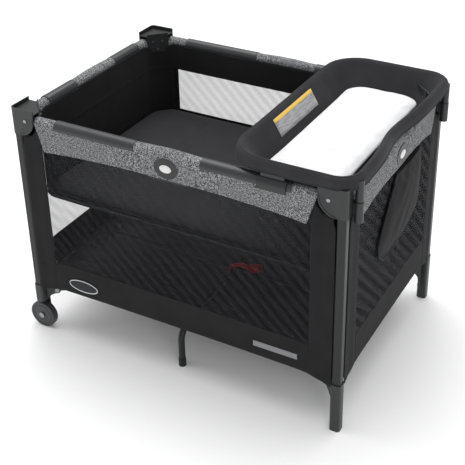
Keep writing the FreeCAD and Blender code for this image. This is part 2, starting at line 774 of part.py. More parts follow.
def rounded_outline(inset, z, r1=rim_round_right):
    """The rim's centre line, or a line inside it: four sides and four round corners."""
    x0, x1 = rim_left + inset, rim_right - inset
    ey = rim_half - inset
    r0 = rim_round_left - inset / 2
    s = math.sqrt(0.5)
    turns = [(x1, ey, r1, 1, 1), (x0, ey, r0, -1, 1), (x0, -ey, r0, -1, -1), (x1, -ey, r1, 1, -1)]
    ends = []
    for x, y, r, sx, sy in turns:
        centre = V(x - sx * r, y - sy * r, z)
        side_point = centre + V(sx * r, 0, 0)
        end_point = centre + V(0, sy * r, 0)
        middle = centre + V(sx * r * s, sy * r * s, 0)
        first, last = (side_point, end_point) if sx == sy else (end_point, side_point)
        ends.append((first, middle, last))
    parts = []
    for i, (first, middle, last) in enumerate(ends):
        parts.append(Part.Arc(first, middle, last).toShape())
        parts.append(Part.makeLine(last, ends[(i + 1) % 4][0]))
    return Part.Wire(parts)


def make_rim():
    path = rounded_outline(0, rim_height)
    pieces = []
    for edge in path.Edges:
        first = edge.valueAt(edge.FirstParameter)
        tangent = edge.tangentAt(edge.FirstParameter)
        ring = Part.Wire([Part.makeCircle(rim_radius, first, tangent)])
        pieces.append(Part.Wire([edge]).makePipeShell([ring], True, False))
    return fuse(pieces)


def well_levels(skin, floor, mouth):
    """The well's outline at its mouth, just above the corner mouldings and at its bottom."""
    inset = rim_radius + 1.0 + skin
    return Part.makeLoft([rounded_outline(inset + well_lean, floor, well_round_bottom),
                          rounded_outline(inset + well_shoulder, corner_top + 1, well_round_shoulder),
                          rounded_outline(inset, mouth, rim_round_right - inset)], True, True)


def make_well():
    mouth = rim_height + 4
    outer = well_levels(0, well_bottom, mouth)
    return outer.cut(well_levels(well_skin, well_bottom + well_skin, mouth + 1))


def make_pad():
    inset = rim_radius + 1.0 + well_lean + well_skin + pad_gap
    low = well_bottom + well_skin + 0.5
    face = Part.Face(rounded_outline(inset, low, well_round_bottom))
    return face.extrude(V(0, 0, pad_thick))


def make_changer_mounts():
    """Two pins for the corner sockets and two saddles over the long rails, with their risers."""
    collar_low = socket_top + 1.5
    pin = rod(V(pin_x, pin_y, pin_bottom), V(0, 0, 1), collar_low - pin_bottom + 1, pin_radius)
    collar = rod(V(pin_x, pin_y, collar_low), V(0, 0, 1), rim_height - collar_low,
                 collar_radius)
    pins = fuse([pin, collar])
    half = (saddle[1] - saddle[0]) / 2
    channel = arch(half, saddle_out, saddle_leg).cut(arch(half + 1, saddle_in, saddle_leg + 1))
    channel = channel.cut(box(-half - 1, half + 1, post_y - saddle_out - 1, post_y,
                              arch_z - saddle_leg - 1, bassinet_top + 1))
    channel.translate(V((saddle[0] + saddle[1]) / 2, 0, 0))
    riser = box(saddle[0] + 8, saddle[1] - 8, post_y - 9, post_y + 13, arch_z + saddle_in + 1,
                rim_height - 2)
    hook = fuse([channel, riser])
    rim = make_rim()
    pieces = []
    for piece in (pins, hook):
        clear = piece.cut(rim)
        whole = max(clear.Solids, key=lambda s: s.Volume)
        pieces += [whole, whole.mirror(V(0, 0, 0), V(0, 1, 0))]
    return Part.makeCompound(pieces)


# ---------------------------------------------------------------- write every piece

os.makedirs("parts", exist_ok=True)

for name, (sx, sy) in CORNERS.items():
    wheeled = sx < 0
    save("post_" + name, mirrored(make_short_post() if wheeled else make_post(), sx, sy))
    save("corner_" + name, mirrored(make_corner(not wheeled), sx, sy))
    save("foot_" + name, mirrored(make_wheel_foot() if wheeled else make_foot(), sx, sy))
    save("pins_" + name, mirrored(make_pins(wheeled), sx, sy))
    save("base_tube_" + name, mirrored(make_base_tube(), sx, sy))

save("hub", make_hub())
save("hub_pins", Part.makeCompound(hub_pin_shanks()))
save("lift_strap", make_strap())

for side, sy in X_SIDES.items():
    save("leg_" + side, make_leg(sy))
    save("wheel_" + side, make_wheel(sy))
    save(f"rail_{side}_right", make_half_rail(True, 1, sy, pin_fit))
    save(f"rail_{side}_left", make_half_rail(True, -1, sy, open_pivot_fit))
    save("latch_" + side, mirrored(make_latch(), 1, sy))
    save("button_" + side, mirrored(make_button(), 1, sy))
    save("rail_cover_" + side, mirrored(make_cover(half_x - corner_reach - cover_end_gap, True), 1, sy))
    save("wall_" + side, mirrored(make_wall(post_x - foot_side / 2 - wall_post_gap), 1, sy))

for side, sx in Y_SIDES.items():
    save(f"rail_{side}_front", make_half_rail(False, sx, -1, pin_fit))
    save(f"rail_{side}_back", make_half_rail(False, sx, 1, open_pivot_fit))
    save("latch_" + side, mirrored(swap_side(make_latch()), sx, 1))
    save("button_" + side, mirrored(swap_side(make_button()), sx, 1))
    cover = make_cover(half_y - corner_reach - cover_end_gap, True)
    save("rail_cover_" + side, mirrored(swap_side(cover), sx, 1))
    wall = make_wall(post_y - foot_side / 2 - wall_post_gap)
    save("wall_" + side, mirrored(swap_side(wall), sx, 1))

save("floor_panel", make_floor())
save("organiser", make_organiser())
save("bassinet_clips", make_clips())
save("bassinet_shell", make_bassinet())
save("mattress_pad", make_mattress())
save("changer_rim", make_rim())
save("changer_well", make_well())
save("changer_pad", make_pad())
save("changer_mounts", make_changer_mounts())
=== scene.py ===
import math

import bmesh
import bpy
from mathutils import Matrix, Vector, noise


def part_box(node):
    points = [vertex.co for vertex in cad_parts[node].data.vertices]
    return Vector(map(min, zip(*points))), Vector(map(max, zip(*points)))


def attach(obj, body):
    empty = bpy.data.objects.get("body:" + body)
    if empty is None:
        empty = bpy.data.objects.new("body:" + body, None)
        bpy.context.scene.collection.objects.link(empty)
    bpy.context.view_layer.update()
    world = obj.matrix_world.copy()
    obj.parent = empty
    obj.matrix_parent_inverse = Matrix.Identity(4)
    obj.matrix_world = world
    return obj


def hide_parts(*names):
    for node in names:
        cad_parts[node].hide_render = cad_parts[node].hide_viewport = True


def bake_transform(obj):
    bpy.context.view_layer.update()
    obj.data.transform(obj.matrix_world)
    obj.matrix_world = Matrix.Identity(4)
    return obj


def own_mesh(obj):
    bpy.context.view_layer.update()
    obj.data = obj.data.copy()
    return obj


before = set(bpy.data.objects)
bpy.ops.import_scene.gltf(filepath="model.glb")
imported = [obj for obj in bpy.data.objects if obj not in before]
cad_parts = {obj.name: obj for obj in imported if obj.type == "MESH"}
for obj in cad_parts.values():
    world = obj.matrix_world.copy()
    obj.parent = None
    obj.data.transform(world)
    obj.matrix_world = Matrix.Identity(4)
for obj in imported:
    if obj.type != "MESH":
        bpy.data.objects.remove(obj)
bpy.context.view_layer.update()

bl_info = {
    "name": "Travel Play Yard",
    "version": (1, 0, 0),
    "blender": (4, 5, 0),
    "location": "3D View > Sidebar > Play Yard",
    "description": "Cloth, padding and finishes for a folding play yard with bassinet and changing station",
    "category": "Add Mesh",
}

MM = 0.001


def middle(name, axis):
    """The middle of a part's box along one axis."""
    low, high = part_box(name)
    return (low[axis] + high[axis]) / 2


# Places read from the frame, in metres.
POST_X = middle("post_front_right", 0)
POST_Y = middle("post_back_right", 1)
POST_HALF = (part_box("post_front_right")[1].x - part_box("post_front_right")[0].x) / 2
RAIL_Z = middle("rail_front_left", 2)
CORNER_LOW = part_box("corner_front_left")[0].z
COVER_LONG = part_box("rail_cover_front")[1].x
COVER_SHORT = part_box("rail_cover_right")[1].y
COVER_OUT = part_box("rail_cover_right")[1].x - POST_X
WALL_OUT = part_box("wall_right")[1].x - POST_X
WALL_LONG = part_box("wall_front")[1].x
WALL_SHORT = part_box("wall_right")[1].y
FLOOR_LOW, FLOOR_TOP = (corner.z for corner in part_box("floor_panel"))
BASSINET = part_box("bassinet_shell")
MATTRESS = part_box("mattress_pad")
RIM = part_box("changer_rim")
RIM_MIDDLE_X = middle("changer_rim", 0)
RIM_MIDDLE_Z = middle("changer_rim", 2)
WELL_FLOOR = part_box("changer_well")[0].z
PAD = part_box("changer_pad")
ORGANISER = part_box("organiser")
BUTTON_Z = middle("button_front", 2)

# Sizes that go with the frame's own parts.
LATCH_HALF = 0.042
BEZEL_OPEN = (0.036 - 5 * MM, 0.028 - 5 * MM)
WALL_TOP = CORNER_LOW + 4 * MM
WALL_RISE = 24 * MM
WALL_REACH = POST_X - POST_HALF - 0.6 * MM - WALL_LONG
POST_SEAM = 42 * MM
RIM_EDGE = 12.5 * MM

# Each side: whether it runs along y, and on which side of the middle it stands.
SIDES = {"front": (False, -1), "back": (False, 1), "right": (True, 1), "left": (True, -1)}

# What the fold does to the cloth of each side: the post that carries it, the direction in which it is
# pushed together, the place that stays still and the share of its length that is left.
KEEP_LONG, KEEP_SHORT = 0.301, 0.36
WALL_FOLD = {"front": ("post_front_right", (1, 0, 0), (POST_X, 0, 0), KEEP_LONG),
             "right": ("post_front_right", (0, 1, 0), (0, -POST_Y, 0), KEEP_SHORT),
             "back": ("post_back_left", (1, 0, 0), (-POST_X, 0, 0), KEEP_LONG),
             "left": ("post_back_left", (0, 1, 0), (0, POST_Y, 0), KEEP_SHORT)}

CAMERA = {"azimuth": 27.343, "elevation": 27.683, "distance": 2.8764, "aside": 0.1163, "height": 0.5814,
          "lens": 77.86, "shift": (-0.0918, -0.189)}


def linear(hexa):
    """An sRGB hex colour as linear red, green, blue and alpha."""
    out = []
    for i in (0, 2, 4):
        c = int(hexa[i:i + 2], 16) / 255
        out.append(c / 12.92 if c <= 0.04045 else ((c + 0.055) / 1.055) ** 2.4)
    return (*out, 1.0)


# ------------------------------------------------------------------ settings

def length(name, text, value):
    return bpy.props.FloatProperty(name=name, description=text, default=value, unit="LENGTH")


def colour(name, text, hexa):
    return bpy.props.FloatVectorProperty(name=name, description=text, default=linear(hexa), size=4,
                                         subtype="COLOR", min=0.0, max=1.0)


class PlayYardSizes(bpy.types.PropertyGroup):
    """Sizes of the cloth parts."""
    band_low: length("Band lower edge", "Height of the lower edge of the rail bands at the corners", 0.624)
    band_bow: length("Band bow", "How much higher the lower edge is at the middle of a side", 0.019)
    latch_bulge: length("Latch bulge", "How far the band swells over a latch", 0.004)
    side_border: length("Side border", "Width of the solid cloth beside each mesh pane", 0.066)
    base_border: length("Base border", "Height of the solid cloth below each mesh pane", 0.088)
    wall_cloth: length("Wall cloth", "Thickness of the wall cloth", 0.0012)
    bassinet_round: length("Bassinet corner", "Radius of the bassinet's corners", 0.060)
    quilt_depth: length("Quilting", "Depth of the sewn lines in the pads", 0.0018)
    rim_skirt: length("Changer skirt", "Depth of the cloth that hangs outside the changer's rim", 0.030)


class PlayYardColours(bpy.types.PropertyGroup):
    """Colours of the finishes."""
    moulding: colour("Mouldings", "Corners, feet and latches", "161718")
    tube: colour("Tubes", "Posts, base tubes and legs", "18191a")
    clip: colour("Clips", "Bassinet clips", "202122")
    cloth: colour("Black cloth", "Walls, bassinet and organiser", "1b1b1c")
    heather_dark: colour("Heather dark yarn", "Darker yarn of the bands", "37383a")
    heather_light: colour("Heather light yarn", "Lighter yarn of the bands", "a4a5a7")
    mesh: colour("Mesh", "Thread of the mesh panes", "242426")
    pad: colour("Changing pad", "Cover of the changing pad", "dedee0")
    webbing: colour("Webbing", "Lift strap", "b3262c")


# ------------------------------------------------------------------ materials

def node(mat, kind, inputs=None, out=0, **settings):
    """Adds one shader node with its settings, fills or links its inputs, and gives one output."""
    made = mat.node_tree.nodes.new(kind)
    for key, value in settings.items():
        setattr(made, key, value)
    for key, value in (inputs or {}).items():
        if isinstance(value, bpy.types.NodeSocket):
            mat.node_tree.links.new(value, made.inputs[key])
        else:
            made.inputs[key].default_value = value
    return made.outputs[out]


def start(name, **shader):
    """A new material with its shader's own sockets set."""
    mat = bpy.data.materials.new(name)
    mat.use_nodes = True
    principled = mat.node_tree.nodes["Principled BSDF"]
    for key, value in shader.items():
        principled.inputs[key.replace("_", " ")].default_value = value
    return mat, principled


def dress(mat, shader, tone, height, depth_mm, strength):
    """Finishes a material: its colour, and a relief that is depth_mm deep."""
    mat.node_tree.links.new(tone, shader.inputs["Base Color"])
    relief = node(mat, "ShaderNodeBump", {"Height": height, "Distance": depth_mm * MM,
                                          "Strength": strength})
    mat.node_tree.links.new(relief, shader.inputs["Normal"])
    return mat


def shade(rgba, factor):
    """A colour made darker or lighter."""
    return (*(min(1.0, c * factor) for c in rgba[:3]), 1.0)


def grain(mat, size_mm, detail):
    """A pattern of soft blots about size_mm across."""
    place = node(mat, "ShaderNodeTexCoord", out="Object")
    return node(mat, "ShaderNodeTexNoise", {"Vector": place, "Scale": 1.0 / (size_mm * MM),
                                           "Detail": detail}, "Fac")


def ribs(mat, pitch_mm, direction):
    """A pattern of ribs, pitch_mm apart."""
    place = node(mat, "ShaderNodeTexCoord", out="Object")
    repeat_at_scale_one = 0.314
    return node(mat, "ShaderNodeTexWave", {"Vector": place, "Scale": repeat_at_scale_one / (pitch_mm * MM)},
                "Fac", bands_direction=direction)


def crossed_ribs(mat, pitch_mm, directions, operation):
    """Ribs in some directions, laid over each other."""
    pattern = ribs(mat, pitch_mm, directions[0])
    for direction in directions[1:]:
        pattern = node(mat, "ShaderNodeMath", {0: pattern, 1: ribs(mat, pitch_mm, direction)},
                       operation=operation)
    return pattern


def weighed_sum(mat, *parts):
    """The sum of some patterns, each times its weight."""
    total = 0.0
    for pattern, weight in parts:
        total = node(mat, "ShaderNodeMath", {0: pattern, 1: weight, 2: total}, operation="MULTIPLY_ADD")
    return total


def between(mat, pattern, low, high, dark, light, most=1.0):
    """A colour that goes from dark to light as a pattern goes from low to high."""
    share = node(mat, "ShaderNodeMapRange", {"Value": pattern, "From Min": low, "From Max": high,
                                             "To Max": most})
    return node(mat, "ShaderNodeMix", {0: share, 6: dark, 7: light}, 2, data_type="RGBA")


def moulded_polypropylene(name, rgba, rough=0.42):
    # Injection moulded polypropylene: spark-eroded fine grain, a soft grey highlight, and convex edges
    # painted paler as a painted highlight.
    mat, shader = start(name, Roughness=rough, IOR=1.49)
    tone = between(mat, grain(mat, 30, 3), 0.3, 0.7, shade(rgba, 0.85), shade(rgba, 1.2))
    # painted highlight: the convex edges, found by their pointiness, are painted paler
    edge = node(mat, "ShaderNodeNewGeometry", out="Pointiness")
    tone = between(mat, edge, 0.51, 0.60, tone, shade(rgba, 1.9))
    # the mould's grain is 0.3 mm, drawn at 1.2 mm so that it shows
    return dress(mat, shader, tone, grain(mat, 1.2, 3), 0.12, 0.5)


def powder_coated_steel(name, rgba):
    # Steel tube, powder coated and baked: satin black with a faint orange peel and long highlights.
    mat, shader = start(name, Roughness=0.38, Specular_IOR_Level=0.35)
    tone = between(mat, grain(mat, 18, 3), 0.35, 0.7, shade(rgba, 0.9), shade(rgba, 1.15))
    return dress(mat, shader, tone, grain(mat, 2.5, 2), 0.05, 0.4)


def zinc_plated_steel():
    # Turned steel pins, zinc plated: bright, slightly cloudy metal.
    mat, shader = start("zinc_plated_steel", Roughness=0.3, Metallic=1.0)
    tone = between(mat, grain(mat, 3, 2), 0.3, 0.7, linear("77787b"), linear("a9aaad"))
    return dress(mat, shader, tone, grain(mat, 0.8, 1), 0.03, 0.4)


def moulded_abs_white():
    # Moulded ABS button: smooth white with a soft gloss and a trace of handling grey.
    mat, shader = start("moulded_white_abs", Roughness=0.28, IOR=1.54)
    tone = between(mat, grain(mat, 9, 3), 0.35, 0.75, linear("dededb"), linear("cdcdc9"))
    return dress(mat, shader, tone, grain(mat, 1.5, 2), 0.03, 0.3)


def wheel_nylon(rgba):
    # Moulded nylon wheel: dull grey face with a coarse cast pebble, painted lighter on its raised bumps and
    # darker in its pits as painted light and shade.
    mat, shader = start("moulded_nylon_wheel", Roughness=0.5, IOR=1.53)
    pebble = node(mat, "ShaderNodeMapRange", {"Value": grain(mat, 3.5, 3), "From Min": 0.38,
                                              "From Max": 0.66})
    # painted light and shade: the raised pebble is painted lighter and the pits darker
    tone = between(mat, pebble, 0.0, 1.0, shade(rgba, 0.8), shade(rgba, 1.7))
    return dress(mat, shader, tone, pebble, 0.25, 0.5)


def woven_polyester(name, rgba, thread_mm=2.2, sheen=0.03, crease_mm=0.9):
    # Woven 300 denier polyester: matt black cloth, faint crossing ribs, wide soft creases, with painted
    # shade in the crease hollows and a painted highlight on the raised threads.
    mat, shader = start(name, Roughness=0.86, Sheen_Weight=sheen, Sheen_Roughness=0.5,
                        Specular_IOR_Level=0.15)
    # real threads are 0.5 mm apart; drawn wider so that they show
    weave = crossed_ribs(mat, thread_mm, "XYZ", "MAXIMUM")
    crease = grain(mat, 70, 3)
    # painted shade: the colour is darker in the hollows of the creases and lighter on their ridges
    tone = between(mat, crease, 0.32, 0.68, shade(rgba, 0.78), shade(rgba, 1.28))
    # painted highlight: the raised threads are painted paler
    tone = between(mat, weave, 0.2, 1.0, tone, shade(rgba, 1.8), 0.35)
    return dress(mat, shader, tone, weighed_sum(mat, (weave, 0.25), (crease, 4.0)), crease_mm, 0.5)


def heather_twill(dark, light):
    # Melange twill: black and pale yarns spun together, so the cloth reads as salt and pepper grey.
    mat, shader = start("woven_heather_twill", Roughness=0.9, Sheen_Weight=0.04, Sheen_Roughness=0.5,
                        Specular_IOR_Level=0.12)
    # yarn slubs are about 1 mm; drawn at 2.3 mm
    fleck = grain(mat, 2.3, 1)
    yarns = weighed_sum(mat, (fleck, 0.8), (grain(mat, 7.0, 1), 0.2))
    return dress(mat, shader, between(mat, yarns, 0.44, 0.61, dark, light), fleck, 0.5, 0.7)


def knitted_mesh(name, rgba, open_share=0.68, pitch_mm=4.2):
    # Warp knitted polyester net: dark threads round small holes, so light passes through evenly.
    mat, shader = start(name, Roughness=0.8, Specular_IOR_Level=0.1)
    # real holes are 1.5 mm; drawn at 4.2 mm
    net = node(mat, "ShaderNodeMath", {0: crossed_ribs(mat, pitch_mm, "XY", "MAXIMUM"),
                                       1: ribs(mat, pitch_mm * 0.8, "Z")}, operation="MULTIPLY")
    slant = ribs(mat, 21, "DIAGONAL")
    thread = 1.0 - open_share
    alpha = node(mat, "ShaderNodeMapRange", {"Value": weighed_sum(mat, (net, 1.0), (slant, 0.3)),
                                             "From Max": 1.3, "To Min": thread * 0.72,
                                             "To Max": thread * 1.5})
    mat.node_tree.links.new(alpha, shader.inputs["Alpha"])
    tone = between(mat, slant, 0.0, 1.0, shade(rgba, 0.8), shade(rgba, 2.2))
    return dress(mat, shader, tone, net, 0.3, 0.5)


def quilted_cover(name, rgba, thread_mm=3.0):
    # Brushed cover over foam: close soft pile, slight shading where it has been pressed.
    mat, shader = start(name, Roughness=0.9, Sheen_Weight=0.04, Sheen_Roughness=0.4,
                        Specular_IOR_Level=0.12)
    press = grain(mat, 55, 3)
    tone = between(mat, press, 0.3, 0.7, shade(rgba, 0.93), shade(rgba, 1.07))
    # real threads are 0.5 mm apart; drawn at 3 mm
    weave = crossed_ribs(mat, thread_mm, "XY", "MULTIPLY")
    return dress(mat, shader, tone, weighed_sum(mat, (weave, 1.0), (press, 3.0)), 0.5, 0.4)


def webbing_tape(name, rgba, rib_mm=2.0):
    # Woven nylon tape: ribs across its width, a little shine on each.
    mat, shader = start(name, Roughness=0.6, Sheen_Weight=0.2)
    rib = ribs(mat, rib_mm, "DIAGONAL")
    tone = between(mat, rib, 0.0, 1.0, shade(rgba, 0.7), shade(rgba, 1.15))
    return dress(mat, shader, tone, rib, 0.3, 0.6)


def printed_label():
    # Printed satin label: pale grey cloth with a yellow heading and blank rows of grey blocks.
    mat, shader = start("printed_satin_label", Roughness=0.55, Sheen_Weight=0.15)
    sheet = node(mat, "ShaderNodeUVMap", uv_map="sheet")
    blocks = node(mat, "ShaderNodeTexBrick", {"Vector": sheet, "Color1": linear("3c3c3e"),
                                              "Color2": linear("a5a5a7"), "Mortar": linear("9c9c9e"),
                                              "Scale": 9.0, "Mortar Size": 0.035, "Bias": 0.35,
                                              "Brick Width": 0.8, "Row Height": 0.35})
    height = node(mat, "ShaderNodeSeparateXYZ", {"Vector": sheet}, "Y")
    heading = node(mat, "ShaderNodeMath", {0: height, 1: 0.8}, operation="GREATER_THAN")
    tone = between(mat, heading, 0.0, 1.0, blocks, linear("d9b23a"))
    return dress(mat, shader, tone, grain(mat, 1.5, 2), 0.1, 0.4)


FINISH = {}


def mix_finishes(colours):
    """Makes every material that a piece can be finished with."""
    FINISH.update(
        moulding=moulded_polypropylene("moulded_polypropylene_black", colours.moulding),
        clip=moulded_polypropylene("moulded_polypropylene_grey", colours.clip, 0.34),
        tube=powder_coated_steel("powder_coated_steel_black", colours.tube),
        rail=powder_coated_steel("powder_coated_steel_grey", linear("3f4042")),
        pin=zinc_plated_steel(),
        button=moulded_abs_white(),
        wheel=wheel_nylon(linear("2b2c2e")),
        cloth=woven_polyester("woven_polyester_black", colours.cloth),
        lining=woven_polyester("woven_polyester_lining", shade(colours.cloth, 0.8)),
        floor=woven_polyester("woven_polyester_floor", linear("323234")),
        changer=woven_polyester("woven_polyester_changer", linear("2a2a2c"), 2.6, 0.04, 0.6),
        piping=woven_polyester("woven_polyester_piping", linear("2c2d2f"), 1.6, 0.05, 0.2),
        heather=heather_twill(colours.heather_dark, colours.heather_light),
        mesh=knitted_mesh("knitted_mesh_black", colours.mesh),
        close_mesh=knitted_mesh("knitted_mesh_close", colours.mesh, 0.38),
        mattress=quilted_cover("brushed_mattress_cover", linear("303032")),
        pad=quilted_cover("brushed_pad_cover", colours.pad),
        webbing=webbing_tape("woven_webbing_red", colours.webbing),
        thread=webbing_tape("sewing_thread_grey", linear("7c7d80"), 1.4),
        white_thread=webbing_tape("sewing_thread_white", linear("d4d5d6"), 1.4),
        label=printed_label(),
    )


# ------------------------------------------------------------------ mesh helpers

def make(name, points, faces, finish, body, smooth=True):
    """A piece from points and faces, with its finish and its body."""
    data = bpy.data.meshes.new(name)
    data.from_pydata([tuple(p) for p in points], [], faces)
    data.validate()
    piece = bpy.data.objects.new(name, data)
    bpy.context.scene.collection.objects.link(piece)
    for key in (finish if isinstance(finish, (list, tuple)) else [finish]):
        data.materials.append(FINISH[key])
    data.polygons.foreach_set("use_smooth", [smooth] * len(data.polygons))
    if body:
        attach(piece, body)
    return piece


def grid(rows, closed=False, keep=None):
    """Points and faces of a net of rows; keep(row, column) drops faces where it is false."""
    wide = len(rows[0])
    points = [p for row in rows for p in row]
    faces = []
    for i in range(len(rows) - 1):
        for j in range(wide if closed else wide - 1):
            if keep and not keep(i, j):
                continue
            k = (j + 1) % wide
            faces.append((i * wide + j, i * wide + k, (i + 1) * wide + k, (i + 1) * wide + j))
    return points, faces


def tidy(piece, normals=True):
    """Drops loose points and turns every face the same way."""
    bm = bmesh.new()
    bm.from_mesh(piece.data)
    bmesh.ops.delete(bm, geom=[v for v in bm.verts if not v.link_faces], context="VERTS")
    bmesh.ops.remove_doubles(bm, verts=bm.verts, dist=1e-5)
    if normals:
        bmesh.ops.recalc_face_normals(bm, faces=bm.faces)
    bm.to_mesh(piece.data)
    bm.free()
    return piece


def thicken(piece, thickness, levels=0):
    """Gives a piece the thickness of cloth, after rounding it some levels."""
    if levels:
        piece.modifiers.new("smooth", "SUBSURF").levels = levels
        piece.modifiers["smooth"].render_levels = levels
    solid = piece.modifiers.new("cloth", "SOLIDIFY")
    solid.thickness = thickness
    solid.offset = 0.0
    return piece


def spread(start, end, count, stops=(), closest=0.0022):
    """Evenly spaced values from start to end, with the stops among them and none too close to a stop."""
    values = [start + (end - start) * i / count for i in range(count + 1)]
    for stop in stops:
        values = [v for v in values if abs(v - stop) > closest or v in (start, end)]
        values.append(stop)
    return sorted(set(values))


def bell(x, centre, width):
    """A smooth bump, 1 at the centre and near 0 two widths away."""
    return math.exp(-((x - centre) / width) ** 2)


def at_side(side, s, out, z):
    """A point of a side: s along it, out from the rail's axis, z up."""
    turned, sign = SIDES[side]
    if turned:
        return Vector((sign * (POST_X + out), s, z))
    return Vector((s, sign * (POST_Y + out), z))


def close_pad(top, low):
    """Points and faces of a pad: its upper net, its lower net and the wall between their edges."""
    points, faces = grid(top)
    under, below = grid(low)
    shift = len(points)
    faces += [tuple(k + shift for k in reversed(face)) for face in below]
    count, wide = len(top), len(top[0])
    rim = [i * wide for i in range(count)] + [(count - 1) * wide + j for j in range(1, wide)]
    rim += [i * wide + wide - 1 for i in range(count - 2, -1, -1)] + list(range(wide - 2, 0, -1))
    faces += [(a, b, b + shift, a + shift) for a, b in zip(rim, rim[1:] + rim[:1])]
    return points + under, faces


def hang_on_wall(piece, side):
    """Lets a wall's post carry a piece."""
    body, axis, anchor, keep = WALL_FOLD[side]
    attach(piece, body)
    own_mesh(piece)


def tube_along(name, path, radius, finish, body, closed=False, sides=8):
    """A round cord of cloth sewn along a line, as a mesh."""
    rings = []
    count = len(path)
    for i, p in enumerate(path):
        before = path[(i - 1) % count] if closed or i else path[i]
        after = path[(i + 1) % count] if closed or i < count - 1 else path[i]
        run = (after - before).normalized()
        lift = Vector((0, 0, 1))
        if abs(run.dot(lift)) > 0.95:
            lift = Vector((0, 1, 0))
        side = run.cross(lift).normalized()
        up = side.cross(run).normalized()
        rings.append([p + side * (radius * math.cos(a)) + up * (radius * math.sin(a))
                      for a in (2 * math.pi * k / sides for k in range(sides))])
    if closed:
        rings.append(rings[0])
    points, faces = grid(rings, closed=True)
    if not closed:
        faces.append(tuple(range(sides)))
        faces.append(tuple(len(points) - 1 - k for k in range(sides)))
    return tidy(make(name, points, faces, finish, body))


def ribbon(name, path, across, width, thickness, finish, body):
    """A flat tape along a line; across gives its width direction at each point."""
    rows = [[p - a * (width / 2), p, p + a * (width / 2)] for p, a in zip(path, across)]
    points, faces = grid(rows)
    return thicken(tidy(make(name, points, faces, finish, body)), thickness, 1)


def puff(piece, voxel, pressure, cap):
    """Blows a closed cushion up a little as cloth; no point moves further than the cap."""
    scene = bpy.context.scene
    bpy.context.view_layer.objects.active = piece
    remesh = piece.modifiers.new("even", "REMESH")
    remesh.mode = "VOXEL"
    remesh.voxel_size = voxel
    bpy.ops.object.modifier_apply(modifier="even")
    rest = [v.co.copy() for v in piece.data.vertices]
    cloth = piece.modifiers.new("fill", "CLOTH")
    cloth.settings.use_pressure = True
    cloth.settings.uniform_pressure_force = pressure
    cloth.settings.effector_weights.gravity = 0.0
    cloth.settings.quality = 4
    last_frame = 20
    for number in range(1, last_frame + 1):
        scene.frame_set(number)
    depsgraph = bpy.context.evaluated_depsgraph_get()
    filled = piece.evaluated_get(depsgraph).to_mesh()
    moved = []
    for vertex, was in zip(filled.vertices, rest):
        step = vertex.co - was
        if step.length > cap:
            step *= cap / step.length
        moved.append(was + step)
    piece.evaluated_get(depsgraph).to_mesh_clear()
    piece.modifiers.remove(piece.modifiers["fill"])
    scene.frame_set(1)
    for vertex, co in zip(piece.data.vertices, moved):
        vertex.co = co
    piece.data.polygons.foreach_set("use_smooth", [True] * len(piece.data.polygons))
    return piece


def loop_points(x0, x1, y_half, round_left, round_right, z, arc=14, run=14):
    """A rounded oblong loop in the plane z, always with the same count of points."""
    corners = [(x1 - round_right, y_half - round_right, round_right, 0.0),
               (x0 + round_left, y_half - round_left, round_left, 90.0),
               (x0 + round_left, -y_half + round_left, round_left, 180.0),
               (x1 - round_right, -y_half + round_right, round_right, 270.0)]
    points = []
    for index, (cx, cy, r, start_deg) in enumerate(corners):
        for k in range(arc):
            a = math.radians(start_deg + 90.0 * k / (arc - 1))
            points.append(Vector((cx + r * math.cos(a), cy + r * math.sin(a), z)))
        nx, ny, nr, n_deg = corners[(index + 1) % 4]
        nxt = Vector((nx + nr * math.cos(math.radians(n_deg)),
                      ny + nr * math.sin(math.radians(n_deg)), z))
        last = points[-1]
        for k in range(1, run):
            points.append(last.lerp(nxt, k / run))
    return points


# ------------------------------------------------------------------ frame finishes

# The finish of each rigid part, by how its name starts.
NODE_FINISH = {"corner_": "moulding", "foot_": "moulding", "latch_": "moulding", "hub": "moulding",
               "pins_": "pin", "hub_pins": "pin", "post_": "tube", "base_tube_": "tube",
               "leg_": "tube", "rail_": "rail", "button_": "button", "wheel_": "wheel",
               "bassinet_clips": "clip", "changer_mounts": "moulding"}


def finish_frame():
    """Gives every rigid part of the frame its finish, and softens its edges."""
    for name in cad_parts:
        keys = [k for k in NODE_FINISH if name.startswith(k)]
        if not keys or name.startswith("rail_cover"):
            continue
        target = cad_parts[name]
        target.data.materials.clear()
        target.data.materials.append(FINISH[NODE_FINISH[max(keys, key=len)]])
        target.data.polygons.foreach_set("use_smooth", [True] * len(target.data.polygons))
        round_edge = target.modifiers.new("edge", "BEVEL")
        round_edge.width = 0.5 * MM
        round_edge.segments = 2
        round_edge.limit_method = "ANGLE"
        round_edge.angle_limit = math.radians(40)
        round_edge.harden_normals = True


# ------------------------------------------------------------------ rail bands

def band_low_edge(sizes, s, half):
    """The band's lower edge rises a little toward the middle of a side."""
    return sizes.band_low + sizes.band_bow * (1 - (s / half) ** 2)


def end_slant(s, half):
    """How far the lower corner of a band's end is drawn in, fading out away from the end."""
    fade = 120 * MM
    return 26 * MM * max(0.0, 1 - (half - abs(s)) / fade) ** 2


BAND_STEPS = 14


